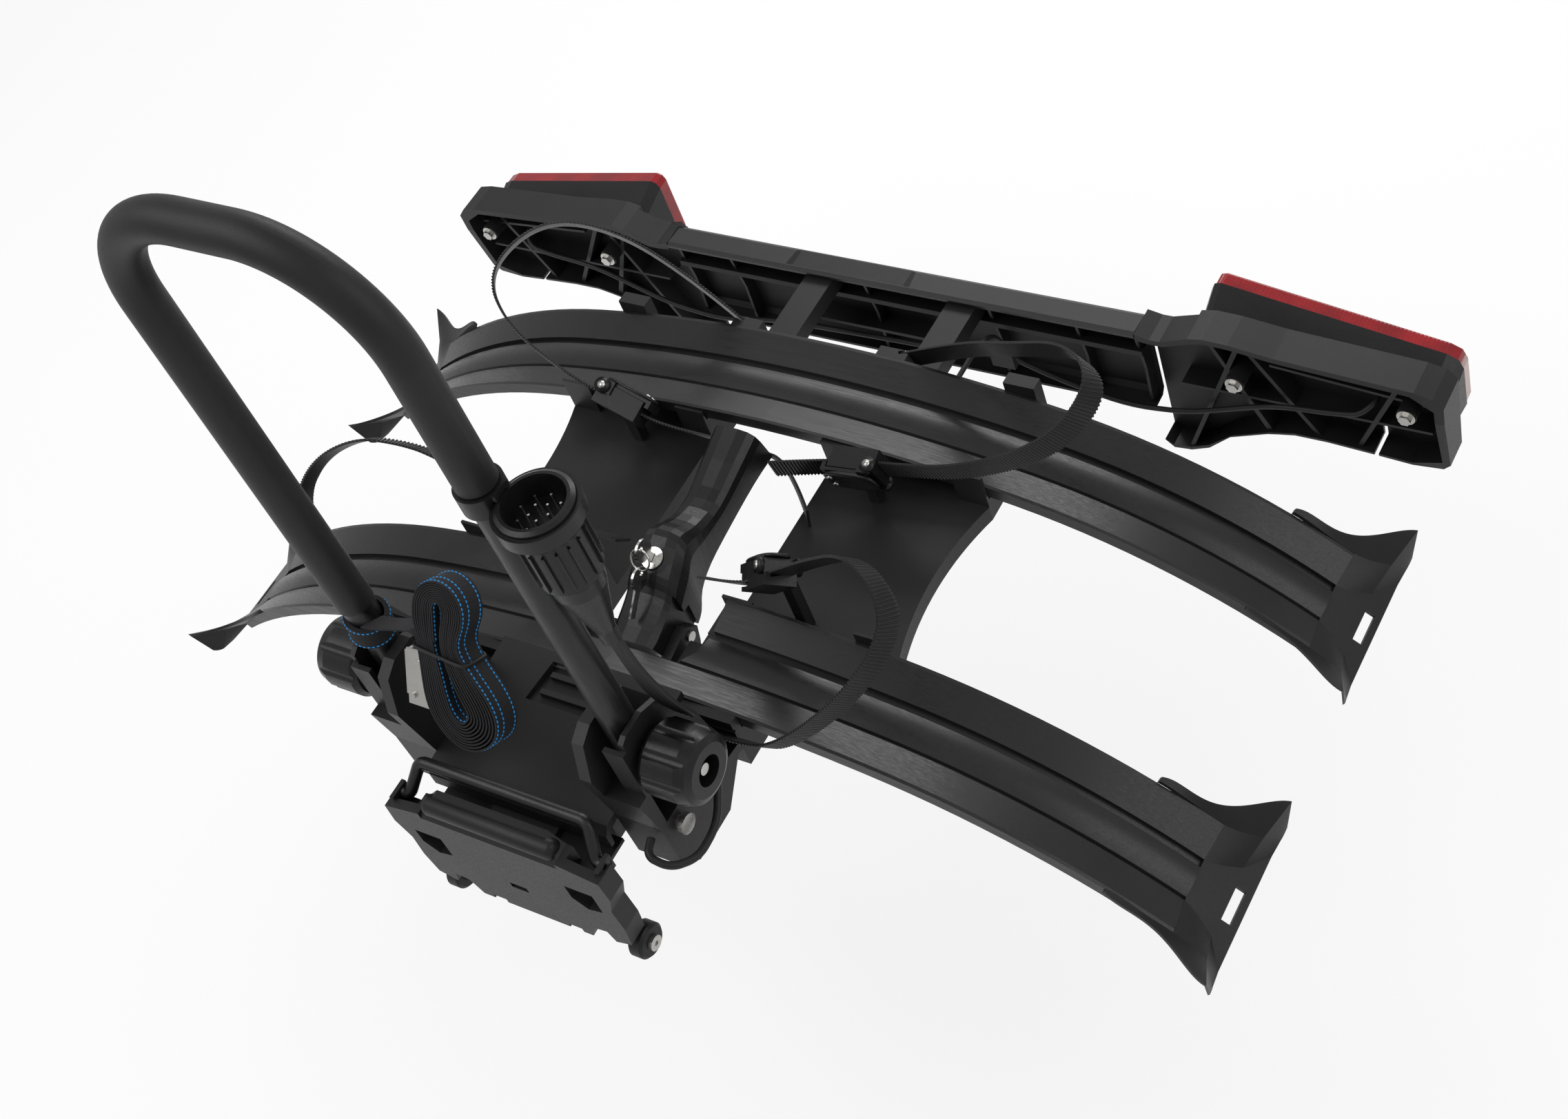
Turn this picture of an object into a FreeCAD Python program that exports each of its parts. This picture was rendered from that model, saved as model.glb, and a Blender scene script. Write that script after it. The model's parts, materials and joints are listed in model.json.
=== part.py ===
import FreeCAD, Part
import math
import os
import Sketcher

# Towball bike carrier for two bikes, in millimetres.
# Every sub-part is drawn in the platform frame: X along the wheel rails, Y from the car to the rear,
# Z up, with zero on the front rail's middle at the height of its lips. The placement of each sub-part
# moves it so that the centre of the towball is the origin of the finished model.

os.makedirs("parts", exist_ok=True)
doc = FreeCAD.newDocument("bike_carrier")
sheet = doc.addObject("Spreadsheet::Sheet", "sizes")
V = FreeCAD.Vector

# Driving dimensions
SIZES = {
    # towball and the place of its centre in the platform frame
    "ball_radius": 25.0, "ball_y": -110.0, "ball_z": -75.0, "ball_play": 0.3,
    # wheel rails
    "rail_gap": 280.0, "rail_width": 101.0, "rail_depth": 15.0, "rail_lip": 3.0, "rail_wall": 3.2,
    "rail_flange": 12.0, "groove_width": 7.5, "groove_depth": 12.0, "band_width": 28.0,
    "band_drop": 7.5, "band_crown": 42.0, "rail_reach": 495.0, "arch_middle": 250.0,
    "arch_slope": 10.7, "end_slope": 37.7, "notch_half": 72.0, "notch_front": -18.0,
    # shoes on the rail ends
    "shoe_overlap": 62.0, "shoe_length": 48.0, "shoe_flare": 86.0, "shoe_wall": 3.5,
    "shoe_rise": 30.0, "shoe_crease": 31.0, "slot_length": 31.0, "slot_width": 9.0, "slot_from_end": 11.0, "shoe_corner": 17.0,
    # deck plates between the rails and the arms that carry the lamp bar
    "plate_top": -41.0, "plate_thick": 4.0, "plate_inner": 63.0, "plate_outer": 222.0,
    "plate_bow": 13.0, "plate_front": 20.0, "plate_rear": 343.5, "saddle_width": 30.0,
    "arm_width": 30.0, "arm_height": 18.0, "arm_drop": 17.2,
    # side cheeks that hold the mast
    "cheek_inner": 92.0, "cheek_outer": 137.0, "cheek_front": -163.0, "cheek_top": 100.0,
    "cheek_bottom": -72.0, "cheek_rear": -60.0, "cheek_wall": 4.0, "recess_floor": 42.0,
    "leg_slit": 14.0,
    # mast
    "mast_half": 117.6, "mast_y": -136.0, "mast_top": 591.0, "mast_bend": 93.0, "mast_pivot": 65.0,
    "tube_radius": 14.0, "tube_wall": 2.0, "sleeve_radius": 16.0, "sleeve_right": 383.0,
    "sleeve_left": 158.0, "leg_end": 16.0,
    # knobs on the mast pivots
    "knob_radius": 31.5, "knob_depth": 49.0, "knob_back": 139.0, "knob_recess": 13.0, "bolt_radius": 5.0,
    "knob_lobes": 9.0, "lobe_radius": 6.0, "bolt_stick": 8.0,
    # floor panel between the cheeks
    "panel_front": -179.0, "panel_rear": -53.0, "panel_low": 0.0, "panel_rise": 12.0, "panel_thick": 7.0,
    # towball coupling
    "tilt_y": -148.0, "tilt_z": -15.0, "tilt_pin": 6.0, "head_half": 34.0, "head_bottom": -112.0,
    "head_rear": -76.0, "head_front": -204.7, "arm_inner": 23.5, "arm_outer": 33.5, "arm_low": -104.0,
    "arm_rise": -12.0, "lever_y": 25.0, "lever_z": -40.0, "lever_pin": 5.0, "lever_half": 21.0,
    "running_gap": 0.05, "side_gap": 0.4,
    # foot plate, release bail and transport wheels
    "foot_half": 104.0, "foot_front": -225.0, "foot_back": -205.0, "foot_top": 14.0,
    "foot_bottom": -118.0, "bail_radius": 5.35, "bail_half": 77.0, "bail_y": -188.0, "bail_z": 18.0,
    "ear_y": -207.0, "ear_z": -8.0, "ear_x": 98.0, "wheel_x": 97.0, "wheel_y": -209.0,
    "wheel_z": -126.0, "wheel_radius": 16.0, "wheel_width": 15.0, "axle_radius": 4.0,
    # lamp bar
    "bar_half": 536.0, "bar_seam": 255.0, "bar_wall": 3.0, "bar_low": -158.0, "bar_crest": -50.0,
    "bar_back": 478.0, "bar_face": 448.0, "bar_end_top": -46.0, "bar_end_back": 490.0,
    "bar_leg": -222.0, "bolt_inner": 42.0, "bolt_outer": 26.0, "lamp_bolt": 4.0,
    # lamps
    "lamp_inner": 303.0, "lamp_outer": 527.0, "lamp_front": 484.0, "lamp_back": 515.0, "lamp_step": 9.0,
    "lens_depth": 15.0, "lamp_slope": 10.3, "lamp_top": -38.0, "lamp_height": 84.0,
    # ratchet straps
    "strap_width": 22.0, "strap_thick": 2.4, "eye_rear_x": 86.0, "eye_rear_y": 345.0,
    "eye_rear_z": -19.0, "eye_front_x": 84.0, "eye_front_y": -60.0, "eye_front_z": -9.0,
    "buckle_x": 114.0, "buckle_rear_y": 206.0, "buckle_rear_z": 6.0, "buckle_front_y": 64.0,
    "buckle_front_z": 26.0, "buckle_length": 46.0, "buckle_depth": 20.0, "buckle_tall": 29.0,
    # lock in the lever's hump with its two keys
    "lock_y": 54.0, "lock_z": 19.8, "lock_radius": 10.0, "lock_depth": 12.0, "key_bow": 10.5,
    "ring_radius": 9.5, "ring_wire": 0.9, "key_length": 45.0,
    # rolled webbing strap on the left leg
    "webbing_width": 25.0, "webbing_thick": 1.4, "bundle_turns": 10.0, "bundle_y": -134.0,
    "bundle_z": 140.0, "bundle_lean": 58.7,
    # electric lead and its plug
    "plug_out": 43.5, "plug_back": 1.2, "plug_face": 375.0, "plug_radius": 29.0,
    "lead_radius": 3.4, "lamp_lead_radius": 2.5,
}
ROW = 0
for name, value in SIZES.items():
    ROW += 1
    sheet.set(f"A{ROW}", name)
    sheet.set(f"B{ROW}", str(value))
    sheet.setAlias(f"B{ROW}", name)
doc.recompute()


class Size:
    """A number together with the expression that keeps it bound to the sheet."""

    def __init__(self, value, text):
        self.value = float(value)
        self.text = text

    def __add__(self, other):
        return Size(self.value + number(other), f"({self.text} + {words(other)})")

    def __radd__(self, other):
        return Size(number(other) + self.value, f"({words(other)} + {self.text})")

    def __sub__(self, other):
        return Size(self.value - number(other), f"({self.text} - {words(other)})")

    def __rsub__(self, other):
        return Size(number(other) - self.value, f"({words(other)} - {self.text})")

    def __mul__(self, other):
        return Size(self.value * number(other), f"({self.text} * {words(other)})")

    __rmul__ = __mul__

    def __truediv__(self, other):
        return Size(self.value / number(other), f"({self.text} / {words(other)})")

    def __neg__(self):
        return Size(-self.value, f"(-1 * {self.text})")

    def __float__(self):
        return self.value


def number(size):
    return size.value if isinstance(size, Size) else float(size)


def words(size):
    return size.text if isinstance(size, Size) else f"({float(size):.6f})"


def sine(angle):
    return Size(math.sin(math.radians(number(angle))), f"sin({words(angle)} * 1 deg)")


def cosine(angle):
    return Size(math.cos(math.radians(number(angle))), f"cos({words(angle)} * 1 deg)")


class Sheet:
    """Gives each cell of the sheet by its alias."""

    def __getattr__(self, alias):
        return Size(sheet.get(alias), f"sizes.{alias}")


s = Sheet()
FINISHED = []


def bind(item, **sizes):
    for prop, size in sizes.items():
        item.setExpression(prop, words(size))


def finish(item, label, x=0, y=0, z=0):
    """Labels a finished sub-part and places it with the towball's centre at the origin."""
    item.Label = label
    item.setExpression(".Placement.Base.x", words(x))
    item.setExpression(".Placement.Base.y", words(y - s.ball_y))
    item.setExpression(".Placement.Base.z", words(z - s.ball_z))
    FINISHED.append(item)
    return item


def free_form(label, shape, x=0, y=0, z=0):
    """A sub-part made with shape functions, for forms that no sketch feature fits."""
    item = doc.addObject("Part::Feature", label)
    place = shape.Placement.toMatrix()
    plain = shape.copy()
    plain.Placement = FreeCAD.Placement()
    item.Shape = plain.transformed(place, copy=True)
    return finish(item, label, x, y, z)


def new_body(name):
    return doc.addObject("PartDesign::Body", name + "_body")


def plane_of(body, role):
    for feature in body.Origin.OriginFeatures:
        if feature.Role == role:
            return feature
    raise ValueError(role)


def new_sketch(body, role, offset=0):
    """A sketch on one of the body's own planes, moved along the plane's normal by offset."""
    sketch = body.newObject("Sketcher::SketchObject", "outline")
    sketch.AttachmentSupport = (plane_of(body, role), "")
    sketch.MapMode = "FlatFace"
    sketch.setExpression(".AttachmentOffset.Base.z", words(offset))
    return sketch


def fix_point(sketch, geometry, end, point):
    across = sketch.addConstraint(Sketcher.Constraint("DistanceX", -1, 1, geometry, end, number(point[0])))
    up = sketch.addConstraint(Sketcher.Constraint("DistanceY", -1, 1, geometry, end, number(point[1])))
    sketch.setExpression(f"Constraints[{across}]", words(point[0]))
    sketch.setExpression(f"Constraints[{up}]", words(point[1]))


def draw_loop(sketch, corners):
    """A closed loop of lines through the corners; a third number bends the next side to that radius."""
    first = sketch.GeometryCount
    count = len(corners)
    for i, corner in enumerate(corners):
        after = corners[(i + 1) % count]
        a = V(number(corner[0]), number(corner[1]), 0)
        b = V(number(after[0]), number(after[1]), 0)
        if len(corner) > 2:
            radius = number(corner[2])
            chord = b - a
            side = V(-chord.y, chord.x, 0).normalize() * math.copysign(1, radius)
            rise = abs(radius) - math.sqrt(radius * radius - chord.Length * chord.Length / 4)
            sketch.addGeometry(Part.Arc(a, (a + b) * 0.5 + side * rise, b))
        else:
            sketch.addGeometry(Part.LineSegment(a, b))
    for i, corner in enumerate(corners):
        here = first + i
        after = first + (i + 1) % count
        head, tail = (2, 1)
        if len(corner) > 2 and number(corner[2]) > 0:
            head = 1
        if len(corners[(i + 1) % count]) > 2 and number(corners[(i + 1) % count][2]) > 0:
            tail = 2
        sketch.addConstraint(Sketcher.Constraint("Coincident", here, head, after, tail))
        start = 1
        if len(corner) > 2 and number(corner[2]) > 0:
            start = 2
        fix_point(sketch, here, start, corner)
        if len(corner) > 2:
            bend = sketch.addConstraint(Sketcher.Constraint("Radius", here, abs(number(corner[2]))))
            text = words(corner[2]) if number(corner[2]) > 0 else words(-corner[2])
            sketch.setExpression(f"Constraints[{bend}]", text)


def draw_circle(sketch, centre, radius):
    middle = V(number(centre[0]), number(centre[1]), 0)
    item = sketch.addGeometry(Part.Circle(middle, V(0, 0, 1), number(radius)))
    fix_point(sketch, item, 3, centre)
    rim = sketch.addConstraint(Sketcher.Constraint("Radius", item, number(radius)))
    sketch.setExpression(f"Constraints[{rim}]", words(radius))


def add_pad(body, sketch, length):
    pad = body.newObject("PartDesign::Pad", "pad")
    pad.Profile = sketch
    bind(pad, Length=length)
    doc.recompute()
    return pad


def add_pocket(body, sketch, length):
    """Cuts along the sketch's normal, and stops the build if nothing came off."""
    before = body.Shape.Volume
    pocket = body.newObject("PartDesign::Pocket", "pocket")
    pocket.Profile = sketch
    pocket.Reversed = True
    bind(pocket, Length=length)
    doc.recompute()
    if body.Shape.Volume > before - 0.5:
        raise ValueError(f"a pocket of {body.Name} cuts nothing")
    return pocket


def pad_loop(body, role, corners, start, length):
    sketch = new_sketch(body, role, start)
    draw_loop(sketch, corners)
    return add_pad(body, sketch, length)


def cut_loop(body, role, corners, start, length):
    sketch = new_sketch(body, role, start)
    draw_loop(sketch, corners)
    return add_pocket(body, sketch, length)


def cut_circle(body, role, centre, radius, start, length):
    sketch = new_sketch(body, role, start)
    draw_circle(sketch, centre, radius)
    return add_pocket(body, sketch, length)


def pad_circle(body, role, centre, radius, start, length):
    sketch = new_sketch(body, role, start)
    draw_circle(sketch, centre, radius)
    return add_pad(body, sketch, length)


def box_loop(x0, x1, y0, y1):
    return [(x0, y0), (x1, y0), (x1, y1), (x0, y1)]


def add_revolution(body, sketch, axis, angle=360):
    turn = body.newObject("PartDesign::Revolution", "turn")
    turn.Profile = sketch
    turn.ReferenceAxis = (sketch, [axis])
    bind(turn, Angle=angle)
    doc.recompute()
    return turn


def round_edges(body, radius, chosen):
    """Rounds the edges of the body's last feature that the test picks."""
    base = body.Tip
    names = [f"Edge{i + 1}" for i, edge in enumerate(base.Shape.Edges) if chosen(edge)]
    fillet = body.newObject("PartDesign::Fillet", "rounding")
    fillet.Base = (base, names)
    bind(fillet, Radius=radius)
    doc.recompute()
    return fillet


def mirrored(source, label):
    """The left-hand twin of a right-hand sub-part."""
    twin = doc.addObject("Part::Mirroring", label)
    twin.Source = source
    twin.Normal = V(1, 0, 0)
    doc.recompute()
    twin.Label = label
    FINISHED.append(twin)
    return twin


def point(*numbers):
    return V(*[number(n) for n in numbers])


def polygon(points):
    return Part.Wire(Part.makePolygon([point(*p) for p in points] + [point(*points[0])]))


def block(x0, x1, y0, y1, z0, z1):
    low = point(x0, y0, z0)
    high = point(x1, y1, z1)
    return Part.makeBox(high.x - low.x, high.y - low.y, high.z - low.z, low)


def rod(start, end, radius):
    run = end - start
    return Part.makeCylinder(number(radius), run.Length, start, run)


def bent_path(points, radii=None, share=0.45):
    """Straight runs joined by tangent arcs; without radii each arc is as large as its runs allow."""
    edges = []
    used = []
    here = points[0]
    for i in range(1, len(points) - 1):
        back = points[i - 1] - points[i]
        ahead = points[i + 1] - points[i]
        turn = math.pi - back.getAngle(ahead)
        limit = share * min(back.Length, ahead.Length)
        radius = limit / math.tan(turn / 2)
        if radii:
            radius = min(radius, number(radii[i - 1] if isinstance(radii, list) else radii))
        used.append(radius)
        reach = radius * math.tan(turn / 2)
        a = points[i] + back.normalize() * reach
        b = points[i] + ahead.normalize() * reach
        bisector = (back.normalize() + ahead.normalize()).normalize()
        middle = points[i] + bisector * (radius / math.cos(turn / 2) - radius)
        edges.append(Part.LineSegment(here, a).toShape())
        edges.append(Part.Arc(a, middle, b).toShape())
        here = b
    edges.append(Part.LineSegment(here, points[-1]).toShape())
    return Part.Wire(edges), used


def tube_along(points, radius, name, radii=None, bore=0):
    """A round bar or tube along a bent path; its volume is compared with its section times its length."""
    path, used = bent_path(points, radii)
    start = points[0]
    run = (points[1] - points[0]).normalize()
    outer = Part.Wire(Part.makeCircle(number(radius), start, run))
    solid = path.makePipeShell([outer], True, False)
    area = math.pi * number(radius) ** 2
    if number(bore) > 0:
        inner = Part.Wire(Part.makeCircle(number(bore), start, run))
        solid = solid.cut(path.makePipeShell([inner], True, False))
        area -= math.pi * number(bore) ** 2
    ratio = solid.Volume / (area * path.Length)
    least = min(used) if used else 0
    print(f"{name}: length {path.Length:.0f}, least radius {least:.1f}, volume ratio {ratio:.4f}")
    return solid


def band_along(points, width_way, width, thickness, name):
    """A flat band along a bent path, its width kept along one direction."""
    path, used = bent_path(points)
    way = V(width_way).normalize()
    run = (points[1] - points[0]).normalize()
    way = (way - run * way.dot(run)).normalize()
    side = run.cross(way)
    w = way * (number(width) / 2)
    h = side * (number(thickness) / 2)
    corners = [points[0] + w + h, points[0] - w + h, points[0] - w - h, points[0] + w - h]
    outline = Part.Wire(Part.makePolygon(corners + [corners[0]]))
    shell = Part.BRepOffsetAPI.MakePipeShell(path)
    shell.setBiNormalMode(way)
    shell.add(outline)
    shell.build()
    shell.makeSolid()
    solid = shell.shape()
    print(f"{name}: length {path.Length:.0f}, least radius {min(used):.1f}")
    return solid


# Wheel rails: one extruded section bent to two arcs on each side of the middle
MIDDLE_RADIUS = s.arch_middle / sine(s.arch_slope)
OUTER_RADIUS = (s.rail_reach - s.arch_middle) / (sine(s.end_slope) - sine(s.arch_slope))
HALF_RAIL = s.rail_width / 2


def arch_point(x):
    """Height and slope (degrees) of the rail's lips at a distance x from the middle."""
    inner = number(MIDDLE_RADIUS)
    outer = number(OUTER_RADIUS)
    knee = number(s.arch_middle)
    if abs(x) <= knee:
        slope = math.asin(abs(x) / inner)
        return -inner * (1 - math.cos(slope)), math.degrees(slope)
    start = math.radians(number(s.arch_slope))
    slope = math.asin(math.sin(start) + (abs(x) - knee) / outer)
    height = -inner * (1 - math.cos(start)) - outer * (math.cos(start) - math.cos(slope))
    return height, math.degrees(slope)


def rail_section():
    """Rear lip first: rear wall, groove, crowned middle band, front wall and front lip."""
    groove_rear = s.band_width / 2 + s.groove_width - 2
    band_rear = s.band_width / 2 - 2
    band_front = -(s.band_width / 2 + 2)
    inner = HALF_RAIL - s.rail_lip
    skin = HALF_RAIL - s.rail_lip + 0.5
    return [
        (HALF_RAIL, 0), (inner, 0), (groove_rear, -s.band_drop), (groove_rear, -s.groove_depth),
        (band_rear, -s.groove_depth), (band_rear, -s.band_drop, -s.band_crown),
        (band_front, -s.band_drop), (band_front - 1, -s.band_drop - 2),
        (band_front - 3, -s.band_drop - 0.5), (-inner, 0), (-HALF_RAIL, 0),
        (-HALF_RAIL, -s.rail_flange), (-skin, -s.rail_flange), (-skin, -s.rail_wall),
        (band_front - 3, -s.band_drop - s.rail_wall), (band_front - 1, -s.rail_depth),
        (groove_rear + 2, -s.rail_depth), (groove_rear + 4, -s.band_drop - s.rail_wall),
        (skin, -s.rail_wall), (skin, -s.rail_flange), (HALF_RAIL, -s.rail_flange),
    ]


def axis_line(sketch, height):
    """A construction line across the sketch at the given height, the axis of a bend."""
    line = Part.LineSegment(V(-50, number(height), 0), V(50, number(height), 0))
    item = sketch.addGeometry(line, True)
    fix_point(sketch, item, 1, (-50, height))
    fix_point(sketch, item, 2, (50, height))
    return "Axis0"


def rail_body(name):
    body = new_body(name)
    middle = new_sketch(body, "YZ_Plane")
    draw_loop(middle, rail_section())
    axis = axis_line(middle, -MIDDLE_RADIUS)
    turn = add_revolution(body, middle, axis, s.arch_slope)
    if turn.Shape.BoundBox.XMax < 10:
        turn.Reversed = True
        doc.recompute()
    outer = new_sketch(body, "YZ_Plane")
    draw_loop(outer, rail_section())
    axis = axis_line(outer, -OUTER_RADIUS)
    outer.AttachmentOffset = FreeCAD.Placement(V(0, 0, 0), FreeCAD.Rotation(V(1, 0, 0), 1))
    outer.setExpression(".AttachmentOffset.Base.y", words(-MIDDLE_RADIUS * (1 - cosine(s.arch_slope))))
    outer.setExpression(".AttachmentOffset.Base.z", words(MIDDLE_RADIUS * sine(s.arch_slope)))
    outer.setExpression(".AttachmentOffset.Rotation.Angle", words(s.arch_slope))
    turn = add_revolution(body, outer, axis, s.end_slope - s.arch_slope)
    if body.Shape.BoundBox.XMax < number(s.rail_reach) - 20:
        turn.Reversed = True
        doc.recompute()
    twin = body.newObject("PartDesign::Mirrored", "both_halves")
    twin.Originals = [feature for feature in body.Group if feature.isDerivedFrom("PartDesign::Revolution")]
    twin.MirrorPlane = (plane_of(body, "YZ_Plane"), [""])
    body.Tip = twin
    doc.recompute()
    return body


def make_rails():
    front = rail_body("front_rail")
    rear_edge = HALF_RAIL + 5
    bend = 14.0
    cut_loop(front, "XY_Plane", [
        (-s.notch_half, rear_edge), (-s.notch_half, s.notch_front + bend),
        (-s.notch_half + bend, s.notch_front), (s.notch_half - bend, s.notch_front),
        (s.notch_half, s.notch_front + bend), (s.notch_half, rear_edge)], -30, 40)
    finish(front, "front_rail")
    rear = rail_body("rear_rail")
    finish(rear, "rear_rail", y=s.rail_gap)


def rail_clearance(centre_y, half, low, gap=0.3):
    """The space that a rail and its running gap take up, as a curved bar over the whole rail."""
    inner = number(MIDDLE_RADIUS)
    outer = number(OUTER_RADIUS)
    start = number(s.arch_slope)
    sweep = number(s.end_slope) - start
    y0 = number(centre_y)
    w = number(half) + gap
    z0 = -number(low) - gap
    section = Part.Face(polygon([(0, y0 - w, z0), (0, y0 + w, z0), (0, y0 + w, 60), (0, y0 - w, 60)]))
    middle = section.revolve(V(0, y0, -inner), V(0, 1, 0), start)
    end = section.copy()
    end.rotate(V(0, y0, -inner), V(0, 1, 0), start)
    knee_z = -inner + (inner - outer) * math.cos(math.radians(start))
    knee_x = (inner - outer) * math.sin(math.radians(start))
    tail = end.revolve(V(knee_x, y0, knee_z), V(0, 1, 0), sweep)
    half_bar = middle.fuse(tail)
    return half_bar.fuse(half_bar.mirror(V(0, 0, 0), V(1, 0, 0))).removeSplitter()


# Shoes: flared plastic troughs that close the rail ends
def shoe_section(along_rail, wing, wing_rise, lip, lip_rise, floor, floor_drop, under):
    """One cross-section of a shoe, drawn across the rail at a distance along its end's slope."""
    top = [(-wing, wing_rise), (-lip, lip_rise), (-floor, -floor_drop), (floor, -floor_drop),
           (lip, lip_rise), (wing, wing_rise)]
    skin = number(s.shoe_wall)
    low = [(wing, wing_rise - skin), (lip, lip_rise - skin - 1), (floor + 2, -under),
           (-floor - 2, -under), (-lip, lip_rise - skin - 1), (-wing, wing_rise - skin)]
    return polygon([(along_rail, y, z) for y, z in top + low])


def make_shoe(label, rail_y, side):
    reach = number(s.shoe_length)
    overlap = number(s.shoe_overlap)
    flare = number(s.shoe_flare)
    rise = number(s.shoe_rise)
    crease = number(s.shoe_crease)
    half = number(HALF_RAIL)
    floor = number(s.band_drop)
    under = number(s.rail_depth) + 0.3 + number(s.shoe_wall)
    curved = [
        shoe_section(-overlap, half + 4, 1.5, half, 0.5, 20, floor, under + 5),
        shoe_section(-overlap * 0.5, half + 6.5, 4, half, 0.5, 20, floor, under + 2),
        shoe_section(0, half + 15, 11, half, 0, 19, floor, under),
        shoe_section(crease * 0.5, half + 26, 20, half + 2, 3, 24, floor, under - 2),
        shoe_section(crease, flare - 1, rise, half + 7, 7, 32, floor, floor + number(s.shoe_wall)),
    ]
    body = Part.makeLoft(curved, True, False)
    end = Part.makeLoft([
        curved[-1],
        shoe_section(reach, flare - 9, -1, flare - 17, -4, flare - 32, floor, floor + number(s.shoe_wall))],
        True, True)
    shoe = body.fuse(end)
    slot_x = reach - number(s.slot_from_end)
    shoe = shoe.cut(block(slot_x - s.slot_width / 2, slot_x + s.slot_width / 2,
                          -s.slot_length / 2, s.slot_length / 2, -40, 20))
    outline = Part.makeBox(overlap + 20 + reach, 2 * flare + 2, 140, V(-overlap - 20, -flare - 1, -70))
    tips = [edge for edge in outline.Edges if edge.BoundBox.ZLength > 130 and edge.BoundBox.XMin > reach - 1]
    shoe = shoe.common(outline.makeFillet(number(s.shoe_corner), tips))
    height, slope = arch_point(number(s.rail_reach))
    shoe.rotate(V(0, 0, 0), V(0, 1, 0), slope)
    shoe.translate(V(number(s.rail_reach), number(rail_y), height))
    shoe = shoe.cut(rail_clearance(rail_y, HALF_RAIL, s.rail_depth))
    if side < 0:
        shoe = shoe.mirror(V(0, 0, 0), V(1, 0, 0))
    free_form(label, shoe)


def make_shoes():
    for row, rail_y in (("front", 0), ("rear", s.rail_gap)):
        for hand, side in (("right", 1), ("left", -1)):
            make_shoe(f"{row}_{hand}_shoe", rail_y, side)


# Deck plates: carry the rear rail and the lamp bar from the front rail and the cheeks
def make_deck_plate():
    top = number(s.plate_top)
    thick = number(s.plate_thick)
    inner = number(s.plate_inner)
    outer = number(s.plate_outer)
    front = number(s.plate_front)
    rear = number(s.plate_rear)
    rail = number(s.rail_gap)
    half = number(HALF_RAIL)
    bow = number(s.plate_bow)
    gap_start = half + 4
    gap_end = rail - half - 4
    middle = (gap_start + gap_end) / 2
    edge = [Part.makePolygon([V(outer, gap_start, 0), V(outer, front, 0), V(inner, front, 0),
                              V(inner, rear, 0), V(outer, rear, 0), V(outer, gap_end, 0)]),
            Part.Arc(V(outer, gap_end, 0), V(outer - bow, middle, 0), V(outer, gap_start, 0)).toShape()]
    sheet_shape = Part.Face(Part.Wire(edge[0].Edges + edge[1].Edges)).extrude(V(0, 0, thick))
    sheet_shape.translate(V(0, 0, top - thick))
    rim = Part.Face(Part.Wire(edge[0].Edges + edge[1].Edges)).extrude(V(0, 0, 16))
    rim.translate(V(0, 0, top - 16))
    core_edge = [Part.makePolygon([V(outer - 3, gap_start, 0), V(outer - 3, front - 5, 0),
                                   V(inner + 3, front - 5, 0), V(inner + 3, rear + 5, 0),
                                   V(outer - 3, rear + 5, 0), V(outer - 3, gap_end, 0)]),
                 Part.Arc(V(outer - 3, gap_end, 0), V(outer - 3 - bow, middle, 0),
                          V(outer - 3, gap_start, 0)).toShape()]
    core = Part.Face(Part.Wire(core_edge[0].Edges + core_edge[1].Edges)).extrude(V(0, 0, 20))
    core.translate(V(0, 0, top - 20))
    plate = sheet_shape.fuse(rim.cut(core))
    saddle = number(s.saddle_width)
    for start, end in ((front, half + 3), (rail - half - 3, rear)):
        bed = block(inner, outer, start, end, top - thick, -5)
        plate = plate.fuse(bed.cut(block(inner + saddle, outer - saddle, start - 1, end + 1, top, 0)))
    arm_x = inner + number(s.arm_width)
    arm_top = top - number(s.arm_drop)
    arm_end = s.bar_back - s.bar_wall - 1.1
    arm = block(inner, arm_x, rear - 50, arm_end, arm_top - number(s.arm_height), arm_top)
    lug = block(inner, arm_x, rear - 50, rear, arm_top, top - thick)
    plate = plate.fuse(arm).fuse(lug)
    for rail_y in (0, s.rail_gap):
        plate = plate.cut(rail_clearance(rail_y, HALF_RAIL, s.rail_depth))
    for name in ("rear_right", "rear_left"):
        hollow = strap_clearance(name)
        if name == "rear_left":
            hollow = hollow.mirror(V(0, 0, 0), V(1, 0, 0))
        plate = plate.cut(hollow)
    right = free_form("right_deck_plate", plate.removeSplitter())
    mirrored(right, "left_deck_plate")


# Side brackets: join each cheek with the front rail and the deck plate
def make_bracket():
    front = number(s.cheek_rear) + 0.3
    end = number(s.plate_front) - 0.3
    top = number(s.plate_top)
    inner = number(s.arm_outer) + 4.5
    outer = number(s.cheek_outer)
    bracket = block(inner, outer, front, end, top - 22, -5)
    bracket = bracket.cut(block(number(s.notch_half) + 6, outer - 6, front + 6, end - 6, top - 30, top - 8))
    bracket = bracket.cut(rail_clearance(0, HALF_RAIL, s.rail_depth))
    bracket = bracket.cut(block(inner - 1, number(s.notch_half) - 8, number(s.notch_front) + 2, end + 1,
                                top + 4, 0))
    bracket = bracket.cut(strap_clearance("front_right"))
    bracket = bracket.cut(strap_clearance("front_left").mirror(V(0, 0, 0), V(1, 0, 0)))
    right = free_form("right_side_bracket", bracket)
    mirrored(right, "left_side_bracket")


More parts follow.
